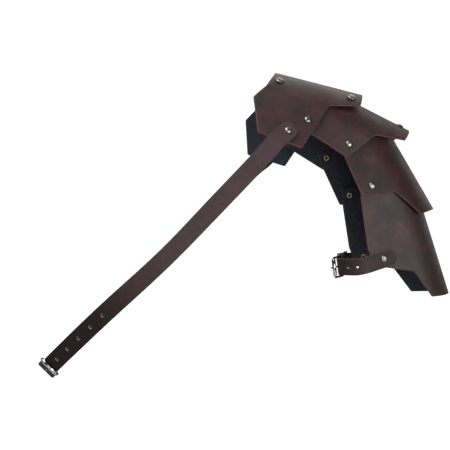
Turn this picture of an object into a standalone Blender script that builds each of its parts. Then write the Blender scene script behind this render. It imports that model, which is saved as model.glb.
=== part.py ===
"""Layered leather pauldron for the left shoulder: four riveted lames, a chest strap and an arm strap.

Units are metres and +Z is up. The wearer faces -Y, the arm is towards +X and the chest towards -X.
The origin is on the inner face of the top lame, at its crown, where it sits on the shoulder.
Each sheet of leather is drawn flat, bent over its own arch or along its own route, and thickened.
"""
import math
from collections import namedtuple

import bmesh
import bpy
from mathutils import Euler, Matrix, Vector

MM = 0.001
GAP = 0.3 * MM

# Leather
LAME_LEATHER = 2.4 * MM
STRAP_LEATHER = 2.2 * MM
STRIP_STEP = 10.8 * MM
ARCH_LIMIT = 108.0 * MM
LEG_STEP = 18.0 * MM
LEG_LIMIT = 160.0 * MM
ALONG_STEP = 20.0 * MM
FILLET_STEPS = 3
BOW_STEPS = 4

# An arch is a round crown with two straight legs. Its radius and bend are given at the tongue end
# and at ARCH_REFERENCE further up the lame, and change evenly along it.
ARCH_REFERENCE = 130.0 * MM
Arch = namedtuple("Arch", "tip slope yaw roll tongue_radius upper_radius tongue_bend upper_bend")
ARCHES = {
    "lame_1": Arch((69.8, -2.1, -14.4), 13.8, 1.7, 1.2, 69.6, 83.1, 77.4, 67.1),
    "lame_2": Arch((138.3, 3.8, -64.5), 26.1, 3.9, 0.9, 69.5, 68.9, 88.4, 74.8),
    "lame_3": Arch((174.4, 1.9, -178.5), 59.9, 0.1, 4.2, 61.2, 63.3, 83.7, 82.5),
    "lame_4": Arch((197.4, 0.8, -299.1), 72.4, 3.3, -1.2, 49.8, 54.0, 86.2, 82.2),
}

# Corners of the front half of each flat pattern in mm, from the tongue's corner to the upper edge
Corner = namedtuple("Corner", "along across fillet")
PATTERNS = {
    "lame_1": [Corner(5, 65.5, 2), Corner(48, 82, 7), Corner(73.5, 158, 3), Corner(135, 158, 3),
               Corner(151.5, 106, 5), Corner(138, 81, 14)],
    "lame_2": [Corner(8, 65, 2), Corner(50.5, 82.5, 8), Corner(73.5, 130.5, 3), Corner(130, 125, 20),
               Corner(153, 121, 4)],
    "lame_3": [Corner(7.5, 69, 2), Corner(52, 88.5, 8), Corner(69.5, 133, 3), Corner(136, 127, 20),
               Corner(153, 123, 4)],
    "lame_4": [Corner(8.5, 65, 2), Corner(50, 80.5, 7), Corner(75, 134, 3), Corner(100, 136, 20),
               Corner(170, 126, 20), Corner(190, 120, 4)],
}
UPPER_EDGE_AT_CROWN = {"lame_1": 127, "lame_2": 134, "lame_3": 139, "lame_4": 171}

# Rivets
CAP_HEIGHT = 2.4 * MM
FOLD_CAP = 4.8
POST_RADIUS = 1.5 * MM
HOLE_RADIUS = 1.8 * MM
RING_RADIUS = 4.4 * MM
RING_HEIGHT = 0.9 * MM
RING_BORE = 1.9 * MM
RING_TAPER = 0.9
RING_SUNK = 0.6 * MM
RING_CLEARANCE = 0.5 * MM
RIVET_SIDES = 10
DomePoint = namedtuple("DomePoint", "radius height")
CAP_DOME = [DomePoint(0.0, 1.0), DomePoint(0.6, 0.78), DomePoint(1.0, 0.15), DomePoint(0.95, 0.0)]
HOLE_SIDES = 8
CUTTER_REACH = 24.0 * MM

# A rivet sits at a place on its outermost lame, and goes through the lame below as well. cap is the
# radius of its cap. Both in mm.
Rivet = namedtuple("Rivet", "lame along across cap below strap")
RIVETS = {
    "tongue_rivet": Rivet("lame_1", 18.5, 52, 6.2, None, False),
    "neck_rivet": Rivet("lame_1", 121, 62, 6.2, None, False),
    "chest_strap_rivet": Rivet("lame_1", 97, 141.5, 4.8, None, True),
    "ridge_rivet": Rivet("lame_2", 17, 29, 4.8, None, False),
    "lame_rivet_1": Rivet("lame_1", 73.5, 114.5, 4.8, "lame_2", False),
    "lame_rivet_2": Rivet("lame_2", 78.5, 112, 4.8, "lame_3", False),
    "lame_rivet_3": Rivet("lame_3", 75, 113.5, 4.8, "lame_4", False),
    "arm_strap_rivet": Rivet("lame_4", 80.5, 118.5, 4.8, None, True),
}

# Straps, which sit STRAP_SEAT off the lame, because flat leather on a bent face leaves some room
STRAP_SEAT = 0.6 * MM
CHEST_STRAP_WIDTH = 25.0 * MM
ARM_STRAP_WIDTH = 23.0 * MM
HOLE_SPACING_CHEST = 25.0 * MM
HOLE_SPACING_ARM = 14.5 * MM
CHEST_HOLE_RADIUS = 2.2 * MM
ARM_HOLE_RADIUS = 1.6 * MM
HOLES_CHEST = 5
HOLES_ARM = 3

# Places on the lame's front leg, in mm, that a strap passes from its rivet to the lame's edge
Seat = namedtuple("Seat", "along across")
CHEST_SEATS = [Seat(97.0, 141.5), Seat(103.5, 152.0), Seat(109.5, 162.0)]
ARM_SEATS = [Seat(79.5, 118.5), Seat(79.7, 128.5)]

# The chest strap runs from the front rivet down across the chest, round the far side and back.
# run is measured down the diagonal, sag across it, depth towards the back, in mm; roll in degrees.
Station = namedtuple("Station", "run depth sag roll")
CHEST_DIAGONAL = Vector((-1.0, 0.0, -1.0)).normalized()
CHEST_ACROSS = Vector((1.0, 0.0, -1.0)).normalized()
CHEST_ROUTE = [
    Station(40, -113.5, 0.7, 10),
    Station(74, -119, 2.0, 12),
    Station(136, -123, 3.6, 14),
    Station(208, -122, 5.1, 20),
    Station(260, -118, 4.0, 18),
    Station(335, -103, -0.1, 9),
    Station(403, -80, -2.9, 3),
    Station(441, -62, -4.3, 0),
    Station(456, -49, -4.9, 0),
    Station(468, -30, -5.8, 0),
    Station(473, -8, -7.0, 0),
    Station(472, 14, -8.2, 0),
    Station(462, 36, -9.3, 0),
    Station(442, 57, -10.1, 0),
    Station(403, 80, -10.3, 2),
    Station(335, 99, -8.3, 6),
    Station(208, 113, -6.2, 12),
    Station(136, 113, -7.1, 12),
    Station(74, 105, -6.8, 10),
    Station(40, 97, -5.0, 9),
]

# The arm strap dips from the front rivet, goes round the inner arm and rises to the back rivet.
ArmPoint = namedtuple("ArmPoint", "x y z")
ARM_ROUTE = [
    ArmPoint(66, -67.0, -258.1),
    ArmPoint(54, -64.5, -260.7),
    ArmPoint(43.2, -55.5, -261.1),
    ArmPoint(37.3, -43.5, -261.4),
    ArmPoint(35.4, -31.0, -261.9),
    ArmPoint(36.3, -16.0, -261.7),
    ArmPoint(39.5, -1.0, -260.5),
    ArmPoint(45.0, 15.0, -256.5),
    ArmPoint(51.0, 30.0, -253.3),
    ArmPoint(55.5, 44.0, -252.1),
    ArmPoint(62.5, 60.5, -254.6),
]
ARM_ACROSS = Vector((0.12, 0.0, -1.0)).normalized()

# Buckles: a wire frame whose near bar, with its roller, lies over the holed strap and whose heel bar
# lies under it. head is the leather past each rivet before the round end, step the spacing of the
# straps' bends, heel the heel bar's distance from the front rivet, and lift the room between the
# roller and the strap. keeper, tail, rivet and fold are distances past the heel bar. All in mm.
Buckle = namedtuple("Buckle", "prefix width head step heel wire length lift keeper tail rivet fold")
CHEST_BUCKLE = Buckle("chest", CHEST_STRAP_WIDTH, 0.0, 9.0, 487.0, 1.6, 21.0, 0.6, 28.0, 40.0, 49.0, 57.0)
ARM_BUCKLE = Buckle("arm", ARM_STRAP_WIDTH, 7.5, 5.0, 99.0, 1.5, 20.0, 3.0, 30.0, 42.0, 51.0, 58.0)
FIRST_HOLE_CHEST = 349.0 * MM
FIRST_HOLE_ARM = 39.0 * MM
FRAME_CORNER = 1.8 * MM
SIDE_CLEARANCE = 0.9 * MM
ROLLER_WALL = 1.0 * MM
PRONG_RADIUS = 1.1 * MM
PRONG_CLEARANCE = 0.35 * MM
PRONG_EYE_START = -30.0
PRONG_EYE_STEP = -30.0
PRONG_EYE_POINTS = 9

# share is the way from the heel bar to the near bar, rise the height over the bars' level in mm
ProngPoint = namedtuple("ProngPoint", "share rise")
PRONG_PATH = [ProngPoint(0.08, 0.1), ProngPoint(0.20, 1.9), ProngPoint(0.36, 3.0), ProngPoint(0.62, 2.7),
              ProngPoint(1.0, 1.3), ProngPoint(1.15, 0.5)]
PRONG_SLOT_BACK = 3.2 * MM
PRONG_SLOT_LENGTH = 9.0 * MM
EYE_SLOT = 10.5 * MM
KEEPER_WIRE = 1.2 * MM
KEEPER_CORNER = 1.6 * MM
EYE_ROOM = 0.5 * MM
CORNER_STEPS = 2

# Ends of the straps, in half widths back from the tip and to the side
HEAD_STEPS = 10
TailPoint = namedtuple("TailPoint", "back side")
TAIL_SQUARE = [TailPoint(0.0, -1.0), TailPoint(0.0, 1.0)]
TAIL_POINT = [TailPoint(0.8, -1.0), TailPoint(0.15, -0.45), TailPoint(0.0, 0.0), TailPoint(0.15, 0.45),
              TailPoint(0.8, 1.0)]

# Fold of the buckle's strap round the heel bar: its nose turns through NOSE_SWEEP degrees, it starts
# to close NOSE_RUN from the bar, and past FOLD_MARGIN the strap rises to the leather over STEP_UP.
FOLD_STEP = 6.0 * MM
FOLD_CLOSED = 14.0
FOLD_MARGIN = 4.0
NOSE_RUN = 7.0 * MM
NOSE_START = -100.0
NOSE_SWEEP = -170.0
NOSE_STEPS = 7
STEP_UP = 28.0 * MM

Finish = namedtuple("Finish", "color roughness metallic")
FINISHES = {
    "lame_leather": Finish((0.055, 0.022, 0.018), 0.42, 0.0),
    "strap_leather": Finish((0.075, 0.050, 0.048), 0.60, 0.0),
    "rivet_metal": Finish((0.42, 0.40, 0.38), 0.28, 1.0),
    "buckle_metal": Finish((0.30, 0.30, 0.31), 0.25, 1.0),
}


def clear_scene():
    """Start from an empty scene."""
    for old in list(bpy.data.objects):
        bpy.data.objects.remove(old, do_unlink=True)


def new_collection(name):
    """Add a collection to the scene and return it."""
    collection = bpy.data.collections.new(name)
    bpy.context.scene.collection.children.link(collection)
    return collection


def finish_material(name):
    """Return the Principled material of a named finish, made on first use."""
    found = bpy.data.materials.get(name)
    if found:
        return found
    finish = FINISHES[name]
    material = bpy.data.materials.new(name)
    material.use_nodes = True
    shader = material.node_tree.nodes["Principled BSDF"]
    shader.inputs["Base Color"].default_value = (*finish.color, 1.0)
    shader.inputs["Roughness"].default_value = finish.roughness
    shader.inputs["Metallic"].default_value = finish.metallic
    material.diffuse_color = (*finish.color, 1.0)
    return material


def add_object(name, data, collection, finish=None, matrix=None):
    """Link an object to a collection, with its finish and its place."""
    obj = bpy.data.objects.new(name, data)
    collection.objects.link(obj)
    if finish:
        data.materials.append(finish_material(finish))
    if matrix:
        obj.matrix_world = matrix
    return obj


# Bending a flat lame over its arch

def arch_matrix(arch):
    """Frame of a lame: X up along the ridge, Y to the front leg, Z out of the crown."""
    turn = Euler((math.radians(arch.roll), math.radians(-arch.slope), math.radians(180.0 + arch.yaw)))
    return Matrix.LocRotScale(Vector(arch.tip) * MM, turn, None)


def arch_section(arch, along):
    """Radius and bend of the arch at a distance up the lame."""
    share = along / ARCH_REFERENCE
    radius = (arch.tongue_radius + (arch.upper_radius - arch.tongue_radius) * share) * MM
    bend = math.radians(arch.tongue_bend + (arch.upper_bend - arch.tongue_bend) * share)
    return radius, bend


def bent_point(arch, along, across):
    """Place in the lame's own frame of a point on its flat pattern, on its outer face."""
    radius, bend = arch_section(arch, along)
    reach = abs(across)
    angle = min(reach / radius, bend)
    leg = max(reach - radius * bend, 0.0)
    out = radius * math.cos(angle) - radius - leg * math.sin(angle)
    forward = radius * math.sin(angle) + leg * math.cos(angle)
    return Vector((along, math.copysign(forward, across), out))


def bent_normal(arch, along, across):
    """Outward direction at a place on the lame, in the lame's own frame."""
    up = bent_point(arch, along + MM, across) - bent_point(arch, along - MM, across)
    over = bent_point(arch, along, across + MM) - bent_point(arch, along, across - MM)
    return up.cross(over).normalized()


def height_over(arch, place):
    """How far a world point lies above the outer face of a lame."""
    local = arch_matrix(arch).inverted() @ place
    radius, bend = arch_section(arch, local.x)
    rise = local.z + radius
    angle = math.atan2(abs(local.y), rise)
    if angle <= bend:
        return math.hypot(rise, local.y) - radius
    return rise * math.cos(bend) + abs(local.y) * math.sin(bend) - radius


def outward_over(arch, place):
    """Outward direction of a lame at the world point on its face nearest to a place."""
    step = Vector((MM, MM, MM))
    moved = [place + Vector([size if axis == i else 0.0 for i, size in enumerate(step)]) for axis in range(3)]
    base = height_over(arch, place)
    return Vector([height_over(arch, point) - base for point in moved]).normalized()


def lame_seat(name, along, across, height=0.0):
    """World place and outward direction at a pattern place given in mm."""
    arch = ARCHES[name]
    matrix = arch_matrix(arch)
    outward = matrix.to_3x3() @ bent_normal(arch, along * MM, across * MM)
    place = matrix @ bent_point(arch, along * MM, across * MM) + outward * height
    return place, outward


# Flat outlines and sheets

def rounded(corners):
    """Turn (x, y, fillet) corners into points, with an arc of short chords at each inner corner."""
    points = [Vector(corners[0][:2])]
    for before, corner, after in zip(corners, corners[1:], corners[2:]):
        here = Vector(corner[:2])
        back = Vector(before[:2]) - here
        ahead = Vector(after[:2]) - here
        half = back.angle(ahead) / 2.0
        cut = min(corner[2] / math.tan(half), 0.45 * back.length, 0.45 * ahead.length)
        start = here + back.normalized() * cut
        end = here + ahead.normalized() * cut
        for step in range(FILLET_STEPS + 1):
            share = step / FILLET_STEPS
            points.append(start.lerp(here, share).lerp(here.lerp(end, share), share))
    points.append(Vector(corners[-1][:2]))
    return points


def lame_outline(name):
    """Whole outline of a lame's flat pattern in metres, front half and its mirror image."""
    corners = PATTERNS[name]
    first, last = corners[0], corners[-1]
    crown = UPPER_EDGE_AT_CROWN[name]
    half = [(first.along * (step / BOW_STEPS) ** 2, first.across * step / BOW_STEPS, 0.0)
            for step in range(BOW_STEPS)]
    half += [tuple(corner) for corner in corners]
    half += [(crown + (last.along - crown) * (step / BOW_STEPS) ** 2, last.across * step / BOW_STEPS, 0.0)
             for step in reversed(range(BOW_STEPS))]
    front = rounded(half)
    back = [Vector((point.x, -point.y)) for point in reversed(front[1:-1])]
    return [point * MM for point in front + back]


def sheet_mesh(name, outline, cuts_x, cuts_y, place):
    """Flat sheet from an outline, cut into strips along the given lines and bent by place(x, y)."""
    sheet = bmesh.new()
    area = sum(a.x * b.y - b.x * a.y for a, b in zip(outline, outline[1:] + outline[:1]))
    ordered = outline if area > 0 else list(reversed(outline))
    sheet.faces.new([sheet.verts.new((point.x, point.y, 0.0)) for point in ordered])
    for direction, cuts in (((1, 0, 0), cuts_x), ((0, 1, 0), cuts_y)):
        for cut in cuts:
            everything = sheet.verts[:] + sheet.edges[:] + sheet.faces[:]
            bmesh.ops.bisect_plane(sheet, geom=everything, dist=1e-6, plane_no=direction,
                                   plane_co=Vector(direction) * cut)
    bmesh.ops.remove_doubles(sheet, verts=sheet.verts[:], dist=0.05 * MM)
    for vert in sheet.verts:
        vert.co = place(vert.co.x, vert.co.y)
    mesh = bpy.data.meshes.new(name)
    sheet.to_mesh(mesh)
    sheet.free()
    return mesh


def thicken(obj, thickness, offset):
    """Give a bent sheet its thickness: offset -1 grows it inwards and 0 to both sides."""
    solid = obj.modifiers.new("Leather", "SOLIDIFY")
    solid.thickness = thickness
    solid.offset = offset
    solid.use_even_offset = True
    obj.data.shade_smooth()
    obj.data.set_sharp_from_angle(angle=math.radians(35.0))


def pierce(obj, cutter):
    """Cut holes through a solid."""
    cut = obj.modifiers.new("Holes", "BOOLEAN")
    cut.operation = "DIFFERENCE"
    cut.solver = "EXACT"
    cut.object = cutter


def facing(outward, hint=Vector((0.0, 0.0, 1.0))):
    """Rotation whose Z is the outward direction and whose X lies as near the hint as it can."""
    along = hint - outward * hint.dot(outward)
    if along.length < 1e-6:
        along = outward.orthogonal()
    along.normalize()
    return Matrix((along, outward.cross(along), outward)).transposed()


def hole_cutter(name, holes, cutters, radius):
    """One hidden object of round pins, one for each (place, direction) hole."""
    pins = bmesh.new()
    for place, outward in holes:
        matrix = Matrix.Translation(place) @ facing(outward).to_4x4()
        bmesh.ops.create_cone(pins, cap_ends=True, segments=HOLE_SIDES, radius1=radius, radius2=radius,
                              depth=CUTTER_REACH, matrix=matrix)
    mesh = bpy.data.meshes.new(name)
    pins.to_mesh(mesh)
    pins.free()
    cutter = add_object(name, mesh, cutters)
    cutter.hide_render = True
    cutter.display_type = "WIRE"
    return cutter


# Lames and rivets

def rivet_seats():
    """Every rivet as (name, rivet, place, outward), front and back, on its lame's outer face."""
    seats = []
    for name, rivet in RIVETS.items():
        for side, sign in (("front", 1.0), ("back", -1.0)):
            place, outward = lame_seat(rivet.lame, rivet.along, sign * rivet.across)
            seats.append((f"{name}_{side}", rivet, place, outward))
    return seats


def build_lame(name, parts, cutters):
    """One lame: its flat pattern bent over its arch, thickened inwards and pierced for its rivets."""
    arch = ARCHES[name]
    strips = round(ARCH_LIMIT / STRIP_STEP)
    legs = int((LEG_LIMIT - ARCH_LIMIT) / LEG_STEP)
    half_cuts = [STRIP_STEP * step for step in range(strips + 1)]
    half_cuts += [ARCH_LIMIT + LEG_STEP * step for step in range(1, legs + 1)]
    cuts_across = half_cuts + [-cut for cut in half_cuts[1:]]
    top = UPPER_EDGE_AT_CROWN[name] * MM
    cuts_along = [ALONG_STEP * step for step in range(1, int(top / ALONG_STEP) + 1)]
    mesh = sheet_mesh(name, lame_outline(name), cuts_along, cuts_across,
                      lambda along, across: bent_point(arch, along, across))
    lame = add_object(name, mesh, parts, "lame_leather", arch_matrix(arch))
    thicken(lame, LAME_LEATHER, -1.0)
    holes = [(place, outward) for _, rivet, place, outward in rivet_seats()
             if name in (rivet.lame, rivet.below)]
    pierce(lame, hole_cutter(f"{name}_holes", holes, cutters, HOLE_RADIUS))
    return lame


def rivet_profile(cap, grip):
    """Half outline of a rivet, from the top of its cap to the bore of its ring."""
    foot = -grip - RING_HEIGHT
    dome = [(share * cap, height * CAP_HEIGHT) for share, height in CAP_DOME]
    return dome + [(POST_RADIUS, 0.0), (POST_RADIUS, -grip), (RING_RADIUS, -grip),
                   (RING_TAPER * RING_RADIUS, foot), (RING_BORE, foot), (0.0, foot + RING_SUNK)]


def turned_mesh(name, profile):
    """An open profile in the XZ plane, to be turned by a Screw modifier."""
    mesh = bpy.data.meshes.new(name)
    edges = [(i, i + 1) for i in range(len(profile) - 1)]
    mesh.from_pydata([(radius, 0.0, z) for radius, z in profile], edges, [])
    return mesh


def turn(obj, sides):
    """Turn a profile about the object's Z axis."""
    screw = obj.modifiers.new("Turned", "SCREW")
    screw.steps = sides
    screw.render_steps = sides
    screw.use_merge_vertices = True
    screw.merge_threshold = 0.01 * MM
    screw.use_smooth_shade = True


def build_rivet(name, rivet, place, outward, parts):
    """A rivet: cap outside, post through the leather, and a ring inside."""
    lift = GAP
    depth = LAME_LEATHER
    if rivet.strap:
        lift += STRAP_SEAT + STRAP_LEATHER
    if rivet.below:
        under = ARCHES[rivet.below]
        tilt = outward.angle(outward_over(under, place))
        depth = (height_over(under, place) + LAME_LEATHER) / math.cos(tilt) + RING_RADIUS * math.tan(tilt)
    seat = place + outward * lift
    grip = lift + depth + RING_CLEARANCE
    matrix = Matrix.Translation(seat) @ facing(outward).to_4x4()
    body = add_object(name, turned_mesh(name, rivet_profile(rivet.cap * MM, grip)), parts, "rivet_metal",
                      matrix)
    turn(body, RIVET_SIDES)
    return body


# Straps

CURVE_STEPS = 10
STEEPEST = 1.3
TINY = 1e-9


def held_back(slope, size):
    """A curve's slope at a point, no longer than STEEPEST times the stretch that it belongs to."""
    if slope.length < TINY or size < TINY:
        return slope
    return slope * min(1.0, STEEPEST * size / slope.length)


class Route:
    """A smooth strap route with a frame at any distance: X along, Y across, Z outward."""

    def __init__(self, points, acrosses, smooth=True):
        self.places = self.smoothed(points) if smooth else list(points)
        hints = self.smoothed(acrosses) if smooth else list(acrosses)
        self.lengths = [0.0]
        for before, after in zip(self.places, self.places[1:]):
            self.lengths.append(self.lengths[-1] + (after - before).length)
        self.acrosses = hints

    @staticmethod
    def smoothed(points):
        """Points along a Catmull-Rom curve through the given ones."""
        first = points[0] * 2.0 - points[1]
        last = points[-1] * 2.0 - points[-2]
        run = [first, *points, last]
        curve = []
        for a, b, c, d in zip(run, run[1:], run[2:], run[3:]):
            size = (c - b).length
            here = held_back((c - a) * 0.5, size)
            ahead = held_back((d - b) * 0.5, size)
            for step in range(CURVE_STEPS):
                t = step / CURVE_STEPS
                curve.append(b * (2 * t**3 - 3 * t**2 + 1) + here * (t**3 - 2 * t**2 + t)
                             + c * (3 * t**2 - 2 * t**3) + ahead * (t**3 - t**2))
        curve.append(points[-1].copy())
        return curve

    @property
    def length(self):
        """Whole length of the route."""
        return self.lengths[-1]

    def spot(self, distance):
        """Place at a distance, carried on straight past either end."""
        index = 0
        while index < len(self.lengths) - 2 and self.lengths[index + 1] < distance:
            index += 1
        step = self.lengths[index + 1] - self.lengths[index]
        share = (distance - self.lengths[index]) / step
        place = self.places[index] + (self.places[index + 1] - self.places[index]) * share
        held = min(max(share, 0.0), 1.0)
        across = self.acrosses[index].lerp(self.acrosses[index + 1], held)
        return place, across

    def frame(self, distance):
        """Matrix at a distance: columns along, across and outward, and the place."""
        place, across = self.spot(distance)
        along = (self.spot(distance + 0.5 * MM)[0] - self.spot(distance - 0.5 * MM)[0]).normalized()
        across = (across - along * across.dot(along)).normalized()
        outward = along.cross(across)
        turn_matrix = Matrix((along, across, outward)).transposed()
        return Matrix.Translation(place) @ turn_matrix.to_4x4()

    def point(self, distance, across, height=0.0):
        """World place at a distance along, across the strap and above its middle."""
        return self.frame(distance) @ Vector((0.0, across, height))


def route_through(lame, seats, free_points, acrosses):
    """Route from a lame's front leg over free points to its back leg, flush on the leather."""
    lift = STRAP_SEAT + STRAP_LEATHER / 2.0
    start = [lame_seat(lame, along, across, lift) for along, across in seats]
    end = [lame_seat(lame, along, -across, lift) for along, across in reversed(seats)]
    points = [place for place, _ in start] + free_points + [place for place, _ in end]
    hints = []
    normals = [outward for _, outward in start] + [None] * len(free_points) + [outward for _, outward in end]
    for index, normal in enumerate(normals):
        ahead = points[min(index + 1, len(points) - 1)]
        behind = points[max(index - 1, 0)]
        along = (ahead - behind).normalized()
        if normal is not None:
            hints.append(normal.cross(along).normalized())
        else:
            hints.append(acrosses[index - len(start)](along))
    return Route(points, hints)


def rolled(across, roll):
    """Width direction of a free stretch, rolled so that its outer face looks up by roll degrees."""
    def at(along):
        flat = (across - along * across.dot(along)).normalized()
        outward = along.cross(flat)
        return flat * math.cos(math.radians(roll)) + outward * math.sin(math.radians(roll))
    return at


def chest_route():
    """Route of the chest strap, from the front of the top lame round to its back."""
    rivet = RIVETS["chest_strap_rivet"]
    front, _ = lame_seat(rivet.lame, rivet.along, rivet.across)
    anchor = Vector((front.x, 0.0, front.z))
    points = [anchor + (CHEST_DIAGONAL * row.run + CHEST_ACROSS * row.sag
                        + Vector((0.0, row.depth, 0.0))) * MM for row in CHEST_ROUTE]
    acrosses = [rolled(CHEST_ACROSS, row.roll) for row in CHEST_ROUTE]
    return route_through("lame_1", CHEST_SEATS, points, acrosses)


def arm_route():
    """Route of the arm strap, from the front of the lowest lame round the inner arm to its back."""
    points = [Vector(row) * MM for row in ARM_ROUTE]
    acrosses = [rolled(ARM_ACROSS, 0.0)] * len(points)
    return route_through("lame_4", ARM_SEATS, points, acrosses)


def strap_outline(head, tail, width, pointed):
    """Flat strap from the middle of its round head to its pointed or square tail, either way along."""
    half = width / 2.0
    way = math.copysign(1.0, tail - head)
    turns = [math.pi * step / HEAD_STEPS for step in range(HEAD_STEPS + 1)]
    outline = [Vector((head - way * half * math.sin(turned), half * math.cos(turned))) for turned in turns]
    shape = TAIL_POINT if pointed else TAIL_SQUARE
    outline += [Vector((tail - way * back * half, side * half)) for back, side in shape]
    return outline


def build_strap(name, route, ends, width, parts, cuts, pointed=False):
    """A strap along a route, its outer face outward, bent at the given cuts."""
    outline = strap_outline(*ends, width, pointed)
    mesh = sheet_mesh(name, outline, cuts, [], lambda along, across: route.point(along, across))
    strap = add_object(name, mesh, parts, "strap_leather")
    thicken(strap, STRAP_LEATHER, 0.0)
    return strap


def folded_route(route, buckle):
    """Route of the buckle's strap: fold inside, round the heel bar, then under the holed strap."""
    heel = buckle.heel * MM
    sunk = -(STRAP_LEATHER + GAP)
    bend = buckle.wire * MM + EYE_ROOM + STRAP_LEATHER / 2.0
    bar = sunk - bend
    lower = sunk - STRAP_LEATHER - GAP
    level_end = heel + (buckle.fold + FOLD_MARGIN) * MM
    points = []
    acrosses = []

    def add(distance, ahead, height):
        frame = route.frame(distance)
        points.append(frame @ Vector((ahead, 0.0, height)))
        acrosses.append(frame.to_3x3() @ Vector((0.0, 1.0, 0.0)))

    under = (buckle.fold - FOLD_CLOSED) * MM
    steps = math.ceil(under / FOLD_STEP)
    for step in range(steps + 1):
        add(heel + buckle.fold * MM - under * step / steps, 0.0, lower)
    add(heel + NOSE_RUN, 0.0, (lower + bar - bend) / 2.0)
    for step in range(NOSE_STEPS + 1):
        angle = math.radians(NOSE_START + NOSE_SWEEP * step / NOSE_STEPS)
        add(heel, bend * math.cos(angle), bar + bend * math.sin(angle))
    distance = heel + FOLD_STEP
    while distance < route.length - FOLD_STEP:
        add(distance, 0.0, sunk * min(1.0, max(0.0, 1.0 - (distance - level_end) / STEP_UP)))
        distance += FOLD_STEP if distance < level_end else buckle.step * MM
    add(route.length, 0.0, 0.0)
    return Route(points, acrosses, smooth=False)


def roller_radius(buckle):
    """Outer radius of the roller on a buckle's near bar."""
    return buckle.wire * MM + GAP + ROLLER_WALL


def buckle_matrix(route, buckle):
    """Place and length of a buckle: X runs from the heel bar under the strap to the near bar over it."""
    wire = buckle.wire * MM
    low = -(1.5 * STRAP_LEATHER + GAP + EYE_ROOM + wire)
    high = STRAP_LEATHER / 2.0 + GAP + roller_radius(buckle) + buckle.lift * MM
    heel = buckle.heel * MM
    heel_bar = route.point(heel, 0.0, low)
    near_bar = route.point(heel - buckle.length * MM, 0.0, high)
    ahead = (near_bar - heel_bar).normalized()
    across = -route.frame(heel).col[1].to_3d()
    across = (across - ahead * across.dot(ahead)).normalized()
    turned = Matrix((ahead, across, ahead.cross(across))).transposed()
    return Matrix.Translation(heel_bar) @ turned.to_4x4(), (near_bar - heel_bar).length


def wire_object(name, points, radius, parts, cyclic=False, matrix=None, resolution=1):
    """A bent wire as a curve with a round section."""
    curve = bpy.data.curves.new(name, "CURVE")
    curve.dimensions = "3D"
    curve.bevel_depth = radius
    curve.bevel_resolution = resolution
    curve.use_fill_caps = not cyclic
    spline = curve.splines.new("POLY")
    spline.points.add(len(points) - 1)
    for spot, point in zip(spline.points, points):
        spot.co = (*point, 1.0)
    spline.use_cyclic_u = cyclic
    return add_object(name, curve, parts, "buckle_metal", matrix)


def rounded_rectangle(low_x, high_x, half_y, corner):
    """Points of a rectangle in the XY plane with arcs at its corners."""
    points = []
    centres = [(high_x - corner, half_y - corner, 0), (low_x + corner, half_y - corner, 90),
               (low_x + corner, -half_y + corner, 180), (high_x - corner, -half_y + corner, 270)]
    for x, y, first in centres:
        for step in range(CORNER_STEPS + 1):
            angle = math.radians(first + 90.0 * step / CORNER_STEPS)
            points.append(Vector((x + corner * math.cos(angle), y + corner * math.sin(angle), 0.0)))
    return points


def build_frame(buckle, matrix, length, parts):
    """Wire frame of a buckle."""
    wire = buckle.wire * MM
    half = buckle.width / 2.0 + SIDE_CLEARANCE + wire
    points = rounded_rectangle(0.0, length, half, FRAME_CORNER)
    return wire_object(f"{buckle.prefix}_buckle_frame", points, wire, parts, cyclic=True, matrix=matrix,
                       resolution=2)


def build_roller(buckle, matrix, length, parts):
    """Tube that turns on the near bar."""
    bore = buckle.wire * MM + GAP
    outer = bore + ROLLER_WALL
    half = buckle.width / 2.0 + SIDE_CLEARANCE - FRAME_CORNER + buckle.wire * MM
    profile = [(outer, half), (outer, -half), (bore, -half), (bore, half), (outer, half)]
    upright = matrix @ Matrix.Translation((length, 0.0, 0.0)) @ Matrix.Rotation(math.radians(90.0), 4, "X")
    roller = add_object(f"{buckle.prefix}_buckle_roller", turned_mesh("roller", profile), parts,
                        "buckle_metal", upright)
    turn(roller, RIVET_SIDES)
    return roller


def build_prong(buckle, matrix, length, parts):
    """Prong: an eye round the heel bar, a rise through the strap's hole, a tip over the roller."""
    wire = buckle.wire * MM
    rest = wire + PRONG_CLEARANCE + PRONG_RADIUS
    eye = [math.radians(PRONG_EYE_START + PRONG_EYE_STEP * step) for step in range(PRONG_EYE_POINTS)]
    points = [Vector((rest * math.cos(angle), 0.0, rest * math.sin(angle))) for angle in eye]
    points += [Vector((share * length, 0.0, rest + rise * MM)) for share, rise in PRONG_PATH]
    return wire_object(f"{buckle.prefix}_buckle_prong", points, PRONG_RADIUS, parts, matrix=matrix)


def build_keeper(buckle, route, parts):
    """Wire loop that holds the strap's tail, the strap below it and its fold together."""
    top = STRAP_LEATHER / 2.0 + GAP + KEEPER_WIRE
    bottom = -(2.5 * STRAP_LEATHER + 3.0 * GAP + KEEPER_WIRE)
    half = buckle.width / 2.0 + GAP + KEEPER_WIRE
    loop = rounded_rectangle(bottom, top, half, KEEPER_CORNER)
    frame = route.frame((buckle.heel + buckle.keeper) * MM)
    upright = frame @ Matrix.Rotation(math.radians(-90.0), 4, "Y")
    return wire_object(f"{buckle.prefix}_strap_keeper", loop, KEEPER_WIRE, parts, cyclic=True, matrix=upright)


def slot_cutter(name, matrix, size, cutters):
    """Hidden box that cuts a slot."""
    box = bmesh.new()
    bmesh.ops.create_cube(box, size=1.0, matrix=Matrix.Diagonal((*size, 1.0)))
    mesh = bpy.data.meshes.new(name)
    box.to_mesh(mesh)
    box.free()
    cutter = add_object(name, mesh, cutters, matrix=matrix)
    cutter.hide_render = True
    cutter.display_type = "WIRE"
    return cutter


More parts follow.
